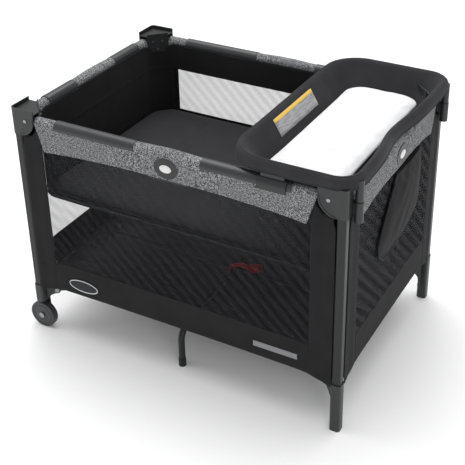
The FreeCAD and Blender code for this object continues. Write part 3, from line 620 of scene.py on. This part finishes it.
def band_rows(side, sizes, values, half):
    """The section of the band at each place along a side: outer leg, arch and inner leg."""
    arch = RAIL_Z - 1.5 * MM
    inner_low = RAIL_Z - 18 * MM
    radius = COVER_OUT - 0.3 * MM
    arch_steps, inner_steps = 10, 4
    rows = []
    for place in values:
        swell = sizes.latch_bulge * bell(place, 0.0, 0.085)
        low = band_low_edge(sizes, place, half)
        s = place
        row = []
        for k in range(BAND_STEPS + 1):
            t = k / BAND_STEPS
            z = low + (arch - low) * t
            ruck = 0.7 * MM * noise.noise(Vector((s * 26, z * 18, half * 9)))
            belly = swell * math.sin(math.pi * (0.25 + 0.6 * t))
            s = place - math.copysign(end_slant(place, half) * (1 - t), place)
            seam = -0.9 * MM * bell(z, low + 7 * MM, 1.6 * MM)
            hem = 0.8 * MM * bell(z, low + 2 * MM, 2.6 * MM)
            row.append(at_side(side, s, radius + belly + ruck + seam + hem, z))
        for k in range(1, arch_steps):
            a = math.pi * k / arch_steps
            grown = radius + swell
            row.append(at_side(side, place, grown * math.cos(a), arch + grown * math.sin(a)))
        for k in range(inner_steps + 1):
            z = arch - (arch - inner_low) * k / inner_steps
            row.append(at_side(side, place, -radius - 0.3 * swell, z))
        rows.append(row)
    return rows


def make_bands(sizes):
    """Heather bands over the top rails: each is two lengths that meet beside the latch."""
    for side, (turned, _) in SIDES.items():
        half = COVER_SHORT if turned else COVER_LONG
        near, far = ("front", "back") if turned else ("right", "left")
        carrier, other = f"rail_{side}_{near}", f"rail_{side}_{far}"
        toward = -1 if turned else 1
        split = -toward * LATCH_HALF
        spans = {"carried": sorted((split, toward * half)), "free": sorted((split, -toward * half))}
        for label, (s0, s1) in spans.items():
            stops = [v for v in (-40 * MM, 40 * MM) if s0 < v < s1]
            values = spread(s0, s1, int((s1 - s0) / 0.007), stops)
            rows = band_rows(side, sizes, values, half)

            def outside_bezel(i, j):
                if j >= BAND_STEPS:
                    return True
                s = (values[i] + values[i + 1]) / 2
                z = (rows[i][j].z + rows[i][j + 1].z) / 2
                return (s / BEZEL_OPEN[0]) ** 2 + ((z - BUTTON_Z) / BEZEL_OPEN[1]) ** 2 > 1

            points, faces = grid(rows, keep=outside_bezel)
            piece = make(f"rail_band_{side}_{label}", points, faces, "heather", None)
            thicken(tidy(piece), 1.1 * MM)
            if label == "carried":
                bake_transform(piece)
            else:
                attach(piece, other)
            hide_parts(f"rail_cover_{side}")


# ------------------------------------------------------------------ yard walls

def wall_low_edge(s, half):
    """The lower edge: a shallow bow that dips to the feet close beside the posts."""
    t = abs(s) / half
    dip_wide = 85 * MM
    dip = max(0.0, 1 - (half - abs(s)) / dip_wide)
    return FLOOR_LOW + 18 * MM + 5 * MM * (1 - t * t) - 22 * MM * dip ** 1.3


def wall_top(side, s):
    """The walls run up behind the bands, and stop just inside the corner mouldings."""
    cover = COVER_SHORT if SIDES[side][0] else COVER_LONG
    return WALL_TOP + (WALL_RISE if abs(s) < cover else 0.0)


def pane_low_edge(sizes):
    """Where the mesh pane is sewn to the border below it."""
    return FLOOR_LOW + sizes.base_border + 8 * MM


def wall_net(side, sizes, half, s_values, z_shares, is_pane):
    """Rows of points up a wall; the border has waves, seams and a hem, and the pane is taut."""
    pane_s = half - sizes.side_border
    rivet_z = 0.646
    rows = []
    for s in s_values:
        low = wall_low_edge(s, half)
        row = []
        for share in z_shares:
            z = low + (wall_top(side, s) - low) * share
            edge = s
            if abs(s) > half - 4 * MM:
                edge = s - math.copysign(9 * MM * bell(z, rivet_z, 9 * MM), s)
            wave = 1.6 * MM * noise.noise(Vector((s * 5, z * 4, len(side) * 3.1)))
            inward = -(2.5 * MM) * math.sin(math.pi * share) * (1 - (s / half) ** 2)
            groove = -1.0 * MM * (bell(z, pane_low_edge(sizes), 2.4 * MM) + bell(abs(s), pane_s, 2.4 * MM)
                                  + bell(abs(s), pane_s + POST_SEAM, 2.0 * MM))
            hem = 0.8 * MM * bell(z, low + 3 * MM, 3.5 * MM)
            out = WALL_OUT + (0 if is_pane else wave * 0.4 + groove + hem) + inward
            row.append(at_side(side, edge, out, z))
        rows.append(row)
    return rows


def make_walls(sizes):
    """The four hanging walls: a sewn border of black cloth round a pane of knitted mesh."""
    for side, (turned, sign) in SIDES.items():
        half = (WALL_SHORT if turned else WALL_LONG) + WALL_REACH
        pane_s = half - sizes.side_border
        tall = WALL_TOP + WALL_RISE - FLOOR_LOW
        seam = (pane_low_edge(sizes) - FLOOR_LOW) / tall
        stops = (pane_s - 3 * MM, pane_s, pane_s + 3 * MM, pane_s + POST_SEAM, half - 3 * MM)
        s_values = spread(-half, half, int(half / 0.009), [v * q for v in (-1, 1) for q in stops])
        z_values = spread(0.0, 1.0, 40, [seam - 0.006, seam, seam + 0.006, 0.006])
        rows = wall_net(side, sizes, half, s_values, z_values, False)

        def in_border(i, j):
            s = abs(s_values[i] + s_values[i + 1]) / 2
            return s > pane_s or (z_values[j] + z_values[j + 1]) / 2 < seam

        points, faces = grid(rows, keep=in_border)
        border = make(f"wall_border_{side}", points, faces, "cloth", None)
        thicken(tidy(border), sizes.wall_cloth)
        pane_at = spread(-pane_s - 4 * MM, pane_s + 4 * MM, 40)
        pane_up = [seam - 0.012 + (1.012 - seam) * k / 24 for k in range(25)]
        points, faces = grid(wall_net(side, sizes, half, pane_at, pane_up, True))
        net = "close_mesh" if turned and sign > 0 else "mesh"
        pane = make(f"wall_mesh_{side}", points, faces, net, None)
        for piece in (border, pane):
            hang_on_wall(piece, side)
            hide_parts(f"wall_{side}")


def make_patches():
    """Two plain sewn pieces on the front wall's lower border: an oval badge and a woven tab."""
    out = WALL_OUT + 1.6 * MM
    badge_s, badge_z = -0.311, 0.205
    count = 40

    def oval(half_wide, half_high):
        turns = [2 * math.pi * k / count for k in range(count)]
        return [at_side("front", badge_s + half_wide * math.cos(a), out, badge_z + half_high * math.sin(a))
                for a in turns]

    badge = make("front_badge", oval(0.052, 0.021), [tuple(range(count))], "piping", None,
                 False)
    thicken(badge, 1.0 * MM)
    stitch = tube_along("front_badge_stitch", oval(0.049, 0.018), 1.5 * MM, "white_thread",
                        None, True)
    s0, s1, z0, z1 = 0.245, 0.375, 0.200, 0.217
    corners = [at_side("front", s, out, z) for s, z in ((s0, z0), (s1, z0), (s1, z1), (s0, z1))]
    tab = make("front_tab", corners, [(0, 1, 2, 3)], "thread", None, False)
    thicken(tab, 0.8 * MM)
    for piece in (badge, stitch, tab):
        hang_on_wall(piece, "front")


# ------------------------------------------------------------------ floor

def floor_lift(x, y, reach):
    """How far the floor's edge is drawn up to the lower edge of the wall beside it."""
    turned_up = 45 * MM
    lift = 0.0
    for side, along, across, limit in (("front", x, y, reach.y), ("right", y, x, reach.x)):
        near = max(0.0, 1 - (limit - abs(across)) / turned_up)
        half = WALL_SHORT if SIDES[side][0] else WALL_LONG
        rise = wall_low_edge(along, half) + 2 * MM - FLOOR_LOW
        lift = max(lift, rise * near * near)
    return lift


def make_floor():
    """The padded floor, in four quarters that follow the base tubes, each with a sewn edge."""
    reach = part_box("floor_panel")[1]
    nx, ny = 36, 26
    corner_cut = 46 * MM
    soft_edge = 20 * MM
    thick = 2.2 * MM
    for name, (sx, sy) in {"front_right": (1, -1), "front_left": (-1, -1), "back_right": (1, 1),
                           "back_left": (-1, 1)}.items():
        top, low = [], []
        for i in range(nx + 1):
            row_top, row_low = [], []
            for j in range(ny + 1):
                x = sx * reach.x * i / nx
                y = sy * reach.y * j / ny
                corner = max(0.0, abs(x) + abs(y) - (reach.x + reach.y - corner_cut)) / 2
                x -= sx * corner
                y -= sy * corner
                edge = min(reach.x - abs(x), reach.y - abs(y), soft_edge) / soft_edge
                swell = 1.5 * MM * math.sqrt(max(0.0, edge))
                ruck = 1.3 * MM * noise.noise(Vector((x * 9, y * 9, 4.0)))
                fold = -0.5 * MM * bell(abs(x), reach.x / 2, 3 * MM)
                lift = floor_lift(x, y, reach)
                row_top.append(Vector((x, y, FLOOR_TOP - thick + swell + ruck + fold + lift)))
                row_low.append(Vector((x, y, FLOOR_LOW + 0.3 * MM + lift)))
            top.append(row_top)
            low.append(row_low)
        points, faces = close_pad(top, low)
        carrier = f"base_tube_{name}"
        piece = tidy(make(f"floor_quarter_{name}", points, faces, "floor", carrier))
        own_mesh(piece)
        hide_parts("floor_panel")


# ------------------------------------------------------------------ bassinet

def bassinet_loop(sizes, z, inset, arc=12, run=44):
    """A loop of points round the bassinet at a height, in from its outside."""
    low, high = BASSINET
    r = sizes.bassinet_round - inset
    return loop_points(low.x + inset, high.x - inset, high.y - inset, r, r, z, arc, run)


def make_bassinet(sizes):
    """The bassinet: cloth walls with rounded corners, mesh panes on the long sides and a cloth bottom."""
    low, high = BASSINET
    top = RAIL_Z - 1 * MM
    pane_low, pane_high = low.z + 18 * MM, high.z - 80 * MM
    pane_x = 0.405
    heights = spread(low.z, top, 36, [pane_low - 3 * MM, pane_low, pane_low + 3 * MM, pane_high - 3 * MM,
                                      pane_high, pane_high + 3 * MM])
    rows = []
    corner_reach = sizes.bassinet_round * 1.15
    for z in heights:
        share = (z - low.z) / (top - low.z)
        row = []
        for p in bassinet_loop(sizes, z, 1.2 * MM):
            near_corner = max(0.0, 1 - math.hypot(high.x - abs(p.x), high.y - abs(p.y)) / corner_reach)
            wave = 1.6 * MM * noise.noise(Vector((p.x * 7, p.y * 7, z * 6)))
            pucker = 2.2 * MM * near_corner * math.sin(210 * (abs(p.x) - abs(p.y)))
            sag = -4.0 * MM * math.sin(math.pi * share) * (1 - near_corner)
            seam = -1.2 * MM * (bell(z, pane_high, 2 * MM) + bell(z, pane_low, 2 * MM)
                                + bell(z, low.z + 7 * MM, 2 * MM))
            out = Vector((p.x / high.x, p.y / high.y, 0)).normalized()
            drop = 16 * MM * min(1.0, 2.2 * near_corner) * share ** 4
            moved = p + out * (wave + pucker * share + sag + seam)
            moved.z = z - drop
            row.append(moved)
        rows.append(row)
    wide = len(rows[0])

    def in_pane(i, j):
        z = (heights[i] + heights[i + 1]) / 2
        a, b = rows[i][j], rows[i][(j + 1) % wide]
        long_side = abs(a.y) > high.y - 0.02 and abs(b.y) > high.y - 0.02
        return long_side and abs(a.x + b.x) / 2 < pane_x and pane_low < z < pane_high

    points, faces = grid(rows, closed=True, keep=lambda i, j: not in_pane(i, j))
    shell = make("bassinet_cloth", points, faces, "lining", None)
    thicken(tidy(shell), 1.4 * MM)
    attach(shell, "bassinet")
    points, faces = grid(rows, closed=True, keep=in_pane)
    pane = tidy(make("bassinet_mesh", points, faces, "mesh", None), False)
    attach(pane, "bassinet")
    bottom_rows = []
    rings = 8
    for k in range(rings + 1):
        share = 1 - k / rings
        bottom_rows.append([Vector((p.x * share, p.y * share, low.z + 0.6 * MM))
                            for p in bassinet_loop(sizes, low.z, 1.5 * MM)])
    points, faces = grid(bottom_rows, closed=True)
    base = make("bassinet_base_cloth", points, faces, "cloth", None)
    thicken(tidy(base), 1.2 * MM)
    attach(base, "bassinet")
    for piece in (shell, pane, base):
        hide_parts("bassinet_shell")
    # the four round corners are shorter than square ones
    piped = bassinet_loop(sizes, low.z + 9 * MM, -1.0 * MM, 10, 24)
    tube_along("bassinet_piping_lower", piped, 2.2 * MM, "piping", "bassinet", True)
    welt_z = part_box("bassinet_clips")[0].z - 1 * MM
    steps = 12
    for side, (turned, _) in SIDES.items():
        clip = (0.095, 0.222) if turned else (0.1, 0.355)
        for label, sign in (("a", -1), ("b", 1)):
            s0, s1 = sorted(sign * end for end in clip)
            path = [at_side(side, s0 + (s1 - s0) * k / steps, -18.6 * MM, welt_z) for k in range(steps + 1)]
            tube_along(f"clip_welt_{side}_{label}", path, 2.2 * MM, "piping", "bassinet")


def make_mattress(sizes):
    """The mattress pad: four foam panels in one cover, with sewn folds between them."""
    low, high = MATTRESS
    count_x, count_y = 72, 48
    reach_x, reach_y = high.x - 4 * MM, high.y - 4 * MM
    corner_cut = 52 * MM
    soft_edge = 30 * MM
    nets = []
    for z, crown in ((high.z - 6 * MM, 5.0 * MM), (low.z + 1 * MM, 0.0)):
        rows = []
        for i in range(count_x + 1):
            row = []
            for j in range(count_y + 1):
                x = reach_x * (2 * i / count_x - 1)
                y = reach_y * (2 * j / count_y - 1)
                over = max(0.0, abs(x) + abs(y) - (reach_x + reach_y - corner_cut)) / 2
                x -= math.copysign(over, x)
                y -= math.copysign(over, y)
                edge = min(reach_x - abs(x), reach_y - abs(y), soft_edge) / soft_edge
                row.append(Vector((x, y, z + crown * max(0.0, edge) ** 0.5)))
            rows.append(row)
        nets.append(rows)
    points, faces = close_pad(*nets)
    piece = tidy(make("mattress_cover", points, faces, "mattress", None))
    puff(piece, 9 * MM, 3.0, 4 * MM)
    for vertex in piece.data.vertices:
        co = vertex.co
        if co.z > low.z + 8 * MM:
            fold = sum(bell(co.x, at, 4 * MM) for at in (-reach_x / 2, 0.0, reach_x / 2))
            ruck = noise.noise(Vector((co.x * 4.5, co.y * 6, 1.7)))
            crease = max(0.0, noise.noise(Vector((co.x * 3 + co.y * 5, co.y * 2, 8.0)))) ** 2
            co.z += -sizes.quilt_depth * min(1.0, fold) + 1.4 * MM * ruck - 4 * MM * crease
    piece.modifiers.new("smooth", "SUBSURF").levels = 1
    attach(piece, "mattress")
    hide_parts("mattress_pad")


# ------------------------------------------------------------------ changing station

def sag_right(p, share):
    """The cloth between the two right corners of the rim is drawn in and down."""
    if p.x <= RIM_MIDDLE_X + 0.1:
        return p
    pull = share * bell(p.y, -0.03, 0.10)
    return Vector((p.x - 26 * MM * pull, p.y, p.z - 10 * MM * pull))


def changer_loop(inset, z, round_left, round_right):
    """A loop of points round the changing station at a height, in from the rim's middle line."""
    x0, x1, y = RIM[0].x + RIM_EDGE, RIM[1].x - RIM_EDGE, RIM[1].y - RIM_EDGE
    return loop_points(x0 + inset, x1 - inset, y - inset, round_left, round_right, z)


def well_slope(t):
    """Inset in millimetres and height of the well's sloping wall, a share t of the way down."""
    top = RIM[1].z
    return 7.0 + 43.0 * t, top - 0.004 - (top - 0.008 - WELL_FLOOR) * t


def make_changer(sizes):
    """The changing station's cloth: an outer skirt, the padded rim and the sloping well."""
    top = RIM[1].z
    mid = RIM_MIDDLE_Z
    skirt = top - sizes.rim_skirt
    # inset, height, left and right corner radius, and how much of the sag reaches this level
    levels = [(-13.5, skirt, 108, 62, 1.0), (-14.5, skirt + 0.012, 109, 63, 1.0),
              (-14.5, mid, 109, 63, 1.0), (-12.5, mid + 0.008, 107, 60, 1.0),
              (-6.0, top + 0.0015, 101, 57, 1.0), (1.0, top + 0.001, 94, 52, 1.0),
              (7.0, top - 0.004, 89, 48, 1.0)]
    slope_steps = 6
    for k in range(1, slope_steps + 1):
        t = k / slope_steps
        levels.append((*well_slope(t), 89 - 21 * t, 48 + 40 * t * (1 - t), 1.0 - t))
    levels += [(56.0, WELL_FLOOR + 0.0015, 64, 46, 0.0), (80.0, WELL_FLOOR + 0.001, 50, 36, 0.0),
               (110.0, WELL_FLOOR + 0.001, 30, 26, 0.0), (150.0, WELL_FLOOR + 0.001, 12, 12, 0.0)]
    rows = []
    for inset, z, r_left, r_right, share in levels:
        on_skirt = inset > 14 and z > WELL_FLOOR + 0.01
        row = []
        for p in changer_loop(inset * MM, z, r_left * MM, r_right * MM):
            moved = sag_right(p, share)
            wave = 1.2 * MM * noise.noise(Vector((moved.x * 9, moved.y * 9, moved.z * 20)))
            pleat = 0.0
            if on_skirt:
                pleat = 1.2 * MM * noise.noise(Vector((moved.x * 22, moved.y * 22, 2.0)))
            centre = Vector((RIM_MIDDLE_X, moved.y * 0.6, moved.z))
            row.append(moved + (moved - centre).normalized() * (wave + pleat))
        rows.append(row)
    points, faces = grid(rows, closed=True)
    wide = len(rows[0])
    faces.append(tuple(len(points) - wide + k for k in range(wide)))
    piece = make("changer_cloth", points, faces, "changer", None)
    thicken(tidy(piece), 1.2 * MM, 1)
    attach(piece, "changing_station")
    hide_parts("changer_rim", "changer_well")
    for label, inset, z, r_left, r_right in (("top", -4.0, top + 0.0015, 99, 56),
                                             ("skirt", -14.2, skirt, 109, 63)):
        path = [sag_right(p, 1.0) for p in changer_loop(inset * MM, z, r_left * MM, r_right * MM)]
        tube_along(f"changer_piping_{label}", path, 1.6 * MM, "piping",
                   "changing_station", True)


def make_label():
    """A blank printed label sewn to the inside of the well's left wall."""
    start_y, wide = -0.125, 0.225
    steps, depth = 16, 5
    rows = []
    for k in range(steps + 1):
        y = start_y + wide * k / steps
        row = []
        for m in range(depth + 1):
            inset, z = well_slope(0.10 + 0.60 * m / depth)
            x = RIM[0].x + RIM_EDGE + inset * MM
            row.append(Vector((x + 2.2 * MM, y, z + 1.4 * MM)))
        rows.append(row)
    points, faces = grid(rows)
    piece = make("changer_label", points, faces, "label", "changing_station")
    layer = piece.data.uv_layers.new(name="sheet")
    columns = depth + 1
    for face in piece.data.polygons:
        for loop_index in face.loop_indices:
            index = piece.data.loops[loop_index].vertex_index
            layer.data[loop_index].uv = (index // columns / steps, 1 - (index % columns) / depth)
    thicken(piece, 0.4 * MM)


def make_changing_pad():
    """The white changing pad: a crowned foam pad in a brushed cover."""
    low, high = PAD
    z0, z1 = low.z + 1 * MM, high.z
    section = [(2.0, z0), (-2.0, z0 + 4 * MM), (-3.0, (z0 + z1) / 2), (-1.0, z1 - 3 * MM), (5.0, z1),
               (14.0, z1 + 2.0 * MM), (30.0, z1 + 3.0 * MM), (60.0, z1 + 3.6 * MM), (90.0, z1 + 3.6 * MM)]
    rows = []
    for inset, z in section:
        r = max(8.0, 52.0 - inset * 0.5) * MM
        rows.append(loop_points(low.x + (inset - 3) * MM, high.x + (3 - inset) * MM,
                                high.y + 12 * MM - inset * MM, r, r, z))
    points, faces = grid(rows, closed=True)
    wide = len(rows[0])
    faces.append(tuple(range(wide)))
    faces.append(tuple((len(rows) - 1) * wide + k for k in range(wide)))
    piece = tidy(make("changing_pad_cover", points, faces, "pad", None))
    puff(piece, 6 * MM, 3.0, 4 * MM)
    for vertex in piece.data.vertices:
        co = vertex.co
        if co.z > z1 - 4 * MM:
            co.z += 0.6 * MM * noise.noise(Vector((co.x * 8, co.y * 8, 5.0)))
    piece.modifiers.new("smooth", "SUBSURF").levels = 1
    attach(piece, "changing_station")
    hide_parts("changer_pad")


# ------------------------------------------------------------------ organiser and strap

# The organiser's front and back edge, as heights and places along the wall.
ORGANISER_FRONT = [(0.634, -0.030), (0.590, -0.055), (0.520, -0.108), (0.470, -0.140), (0.430, -0.134),
                   (0.405, -0.105), (0.398, -0.060)]
ORGANISER_BACK = [(0.634, 0.150), (0.560, 0.162), (0.470, 0.160), (0.440, 0.140), (0.415, 0.080),
                  (0.403, 0.030), (0.398, -0.030)]


def along_edge(edge, z):
    """The place along the wall of an edge at a height."""
    for (z1, y1), (z0, y0) in zip(edge, edge[1:]):
        if z >= z0:
            return y0 + (y1 - y0) * (z - z0) / (z1 - z0)
    return edge[-1][1]


def make_organiser():
    """The organiser pouch on the right wall: a full-bellied bag with a gathered elastic mouth."""
    back_x = ORGANISER[0].x + 1 * MM
    deep = ORGANISER[1].x - ORGANISER[0].x
    top, low = 0.632, 0.399
    count_z, count_y = 36, 28
    rows, flat_rows = [], []
    for i in range(count_z + 1):
        z = top - (top - low) * i / count_z
        down = (top - z) / (top - low)
        y0, y1 = along_edge(ORGANISER_FRONT, z), along_edge(ORGANISER_BACK, z)
        row, back = [], []
        for j in range(count_y + 1):
            t = j / count_y
            y = y0 + (y1 - y0) * t
            belly = math.sin(math.pi * t) ** 0.6 * math.sin(math.pi * min(1.0, 0.12 + 0.95 * down)) ** 0.7
            fold = 0.20 * noise.noise(Vector((y * 22 - z * 9, z * 15, 3.0))) * math.sin(math.pi * t)
            ruffle = 0.10 * math.sin(150 * (y + z)) * bell(down, 0.14, 0.12) * (1 - t)
            out = deep * min(1.0, max(0.05, 0.08 + 0.55 * belly + fold + ruffle))
            row.append(Vector((back_x + out, y, z)))
            back.append(Vector((back_x, y, z)))
        rows.append(row)
        flat_rows.append(back)
    points, faces = grid(rows)
    front = make("organiser_pouch", points, faces, "cloth", None)
    thicken(tidy(front), 1.2 * MM, 1)
    points, faces = grid(flat_rows)
    back = make("organiser_back", points, faces, "cloth", None)
    thicken(tidy(back), 1.0 * MM)
    for piece in (front, back):
        hang_on_wall(piece, "right")
        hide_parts("organiser")
    edge = [row[0] + Vector((2 * MM, 0, 0)) for row in rows]
    edge += [Vector((back_x + 2 * MM, p.y, p.z)) for p in rows[-1][2::4]]
    binding = tube_along("organiser_binding", edge, 1.8 * MM, "piping", None)
    hang_on_wall(binding, "right")


def make_strap():
    """The red webbing loop that lifts the hub when the yard is folded."""
    base = Vector((-0.012, -0.035, FLOOR_TOP + 1.5 * MM))
    turn = math.radians(28)
    run = Vector((math.cos(turn), math.sin(turn), 0))
    up = Vector((0, 0, 1))
    side = up.cross(run)
    rise, foot, reach = 26 * MM, 12 * MM, 55 * MM
    path, across = [], []
    for k in range(13):
        t = k / 12
        path.append(base + run * (foot * t) + up * (rise * math.sin(math.pi * 0.5 * t)))
        across.append(side)
    for k in range(1, 21):
        t = k / 20
        arch = 7 * MM * math.sin(math.pi * t) - 10 * MM * t
        path.append(base + run * (foot + reach * t) + up * (rise + arch))
        across.append((side * math.cos(0.6 * t) + up * math.sin(0.6 * t)).normalized())
    grip = path[-1]
    for k in range(1, 33):
        a = 2 * math.pi * k / 32
        ahead = 18 * MM * (1 - math.cos(a))
        path.append(grip + run * ahead + side * (12 * MM * math.sin(a)) - up * (2 * MM * math.sin(a / 2)))
        across.append((up * 0.9 + side * 0.3 * math.cos(a)).normalized())
    strap = ribbon("lift_strap_webbing", path, across, 17 * MM, 1.4 * MM, "webbing", "hub")
    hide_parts("lift_strap")


# ------------------------------------------------------------------ stage

def make_floor_plane(scene):
    """A wide, plain, pale floor."""
    mat, shader = start("painted_floor_white", Roughness=0.95, Specular_IOR_Level=0.05)
    dull = node(mat, "ShaderNodeMix", {0: grain(mat, 900, 1), 6: linear("f6f6f6"), 7: linear("fbfbfb")}, 2,
                data_type="RGBA")
    mat.node_tree.links.new(dull, shader.inputs["Base Color"])
    data = bpy.data.meshes.new("studio_floor")
    wide = 14.0
    corners = [(-wide, -wide, 0), (wide, -wide, 0), (wide, wide, 0), (-wide, wide, 0)]
    data.from_pydata(corners, [], [(0, 1, 2, 3)])
    data.materials.append(mat)
    plane = bpy.data.objects.new("studio_floor", data)
    scene.collection.objects.link(plane)


def add_lamp(scene, name, where, size, power):
    """A soft box that looks at the middle of the yard."""
    light = bpy.data.lights.new(name, "AREA")
    light.size = size
    light.energy = power
    lamp = bpy.data.objects.new(name, light)
    scene.collection.objects.link(lamp)
    lamp.location = where
    lamp.rotation_euler = (Vector((0.0, 0.0, 0.4)) - Vector(where)).to_track_quat("-Z", "Y").to_euler()


def add_light(scene):
    """Plain soft light from all round, with most of it from above."""
    world = bpy.data.worlds.new("studio")
    scene.world = world
    world.use_nodes = True
    background = world.node_tree.nodes["Background"]
    background.inputs["Color"].default_value = (1, 1, 1, 1)
    background.inputs["Strength"].default_value = 0.52
    add_lamp(scene, "softbox_top", (-0.6, 0.9, 3.2), 2.2, 30)
    add_lamp(scene, "softbox_front", (2.2, -2.6, 1.8), 1.6, 24)
    add_lamp(scene, "softbox_left", (-2.8, -1.2, 1.6), 1.4, 14)
    silk = bpy.data.lights.new("overhead_silk", "SUN")
    silk.energy = 2.0
    silk.angle = math.radians(75)
    above = bpy.data.objects.new("overhead_silk", silk)
    scene.collection.objects.link(above)
    above.rotation_euler = (math.radians(-14), math.radians(-6), 0)


def add_camera(scene):
    """A long lens that looks down on the front right corner."""
    camera = bpy.data.cameras.new("camera")
    holder = bpy.data.objects.new("camera", camera)
    scene.collection.objects.link(holder)
    azimuth, elevation = math.radians(CAMERA["azimuth"]), math.radians(CAMERA["elevation"])
    forward = Vector((-math.sin(azimuth) * math.cos(elevation), math.cos(azimuth) * math.cos(elevation),
                      -math.sin(elevation)))
    right = Vector((math.cos(azimuth), math.sin(azimuth), 0))
    aim = right * CAMERA["aside"] + Vector((0, 0, CAMERA["height"]))
    holder.location = aim - forward * CAMERA["distance"]
    holder.rotation_euler = forward.to_track_quat("-Z", "Y").to_euler()
    camera.sensor_width = 36.0
    camera.lens = CAMERA["lens"]
    camera.shift_x, camera.shift_y = CAMERA["shift"]
    camera.clip_end = 60
    scene.camera = holder


def make_stage(scene):
    """The floor, the soft light and the camera."""
    scene.view_settings.view_transform = "Standard"
    make_floor_plane(scene)
    add_light(scene)
    add_camera(scene)


# ------------------------------------------------------------------ operators

class PLAYYARD_OT_stage(bpy.types.Operator):
    """Makes the floor, the lights and the camera"""
    bl_idname = "playyard.stage"
    bl_label = "Stage"

    def execute(self, context):
        make_stage(context.scene)
        return {"FINISHED"}


class PLAYYARD_OT_finishes(bpy.types.Operator):
    """Mixes every finish from the colours"""
    bl_idname = "playyard.finishes"
    bl_label = "Finishes"

    def execute(self, context):
        mix_finishes(context.scene.play_yard_colours)
        return {"FINISHED"}


class PLAYYARD_OT_frame_parts(bpy.types.Operator):
    """Gives the rigid parts their finishes"""
    bl_idname = "playyard.frame_parts"
    bl_label = "Frame Parts"

    def execute(self, context):
        finish_frame()
        return {"FINISHED"}


class PLAYYARD_OT_rail_bands(bpy.types.Operator):
    """Makes the heather bands over the top rails"""
    bl_idname = "playyard.rail_bands"
    bl_label = "Rail Bands"

    def execute(self, context):
        make_bands(context.scene.play_yard_sizes)
        return {"FINISHED"}


class PLAYYARD_OT_walls(bpy.types.Operator):
    """Makes the four mesh walls"""
    bl_idname = "playyard.walls"
    bl_label = "Walls"

    def execute(self, context):
        make_walls(context.scene.play_yard_sizes)
        return {"FINISHED"}


class PLAYYARD_OT_patches(bpy.types.Operator):
    """Sews the plain badge and tab to the front wall"""
    bl_idname = "playyard.patches"
    bl_label = "Wall Patches"

    def execute(self, context):
        make_patches()
        return {"FINISHED"}


class PLAYYARD_OT_floor(bpy.types.Operator):
    """Makes the padded floor"""
    bl_idname = "playyard.floor"
    bl_label = "Floor"

    def execute(self, context):
        make_floor()
        return {"FINISHED"}


class PLAYYARD_OT_bassinet(bpy.types.Operator):
    """Makes the bassinet's cloth, mesh and clip welts"""
    bl_idname = "playyard.bassinet"
    bl_label = "Bassinet"

    def execute(self, context):
        make_bassinet(context.scene.play_yard_sizes)
        return {"FINISHED"}


class PLAYYARD_OT_mattress(bpy.types.Operator):
    """Makes the mattress pad"""
    bl_idname = "playyard.mattress"
    bl_label = "Mattress"

    def execute(self, context):
        make_mattress(context.scene.play_yard_sizes)
        return {"FINISHED"}


class PLAYYARD_OT_changer(bpy.types.Operator):
    """Makes the changing station's cloth and label"""
    bl_idname = "playyard.changer"
    bl_label = "Changing Station"

    def execute(self, context):
        make_changer(context.scene.play_yard_sizes)
        make_label()
        return {"FINISHED"}


class PLAYYARD_OT_changing_pad(bpy.types.Operator):
    """Makes the white changing pad"""
    bl_idname = "playyard.changing_pad"
    bl_label = "Changing Pad"

    def execute(self, context):
        make_changing_pad()
        return {"FINISHED"}


class PLAYYARD_OT_organiser(bpy.types.Operator):
    """Makes the organiser pouch"""
    bl_idname = "playyard.organiser"
    bl_label = "Organiser"

    def execute(self, context):
        make_organiser()
        return {"FINISHED"}


class PLAYYARD_OT_strap(bpy.types.Operator):
    """Makes the red lift strap"""
    bl_idname = "playyard.strap"
    bl_label = "Lift Strap"

    def execute(self, context):
        make_strap()
        return {"FINISHED"}


OPERATORS = [PLAYYARD_OT_stage, PLAYYARD_OT_finishes, PLAYYARD_OT_frame_parts, PLAYYARD_OT_rail_bands,
             PLAYYARD_OT_walls, PLAYYARD_OT_patches, PLAYYARD_OT_floor, PLAYYARD_OT_bassinet,
             PLAYYARD_OT_mattress, PLAYYARD_OT_changer, PLAYYARD_OT_changing_pad, PLAYYARD_OT_organiser,
             PLAYYARD_OT_strap]


class PLAYYARD_PT_panel(bpy.types.Panel):
    """Lists the sizes, the colours and the making steps."""
    bl_idname = "PLAYYARD_PT_panel"
    bl_label = "Play Yard"
    bl_space_type = "VIEW_3D"
    bl_region_type = "UI"
    bl_category = "Play Yard"

    def draw(self, context):
        for group in (context.scene.play_yard_sizes, context.scene.play_yard_colours):
            for name in group.__annotations__:
                self.layout.prop(group, name)
        for made in OPERATORS:
            self.layout.operator(made.bl_idname)


CLASSES = [PlayYardSizes, PlayYardColours, *OPERATORS, PLAYYARD_PT_panel]


def register():
    for made in CLASSES:
        bpy.utils.register_class(made)
    bpy.types.Scene.play_yard_sizes = bpy.props.PointerProperty(type=PlayYardSizes)
    bpy.types.Scene.play_yard_colours = bpy.props.PointerProperty(type=PlayYardColours)


def unregister():
    del bpy.types.Scene.play_yard_colours
    del bpy.types.Scene.play_yard_sizes
    for made in reversed(CLASSES):
        bpy.utils.unregister_class(made)


def main():
    register()
    for made in OPERATORS:
        getattr(bpy.ops.playyard, made.bl_idname.split(".")[1])()


if __name__ == "__main__":
    main()
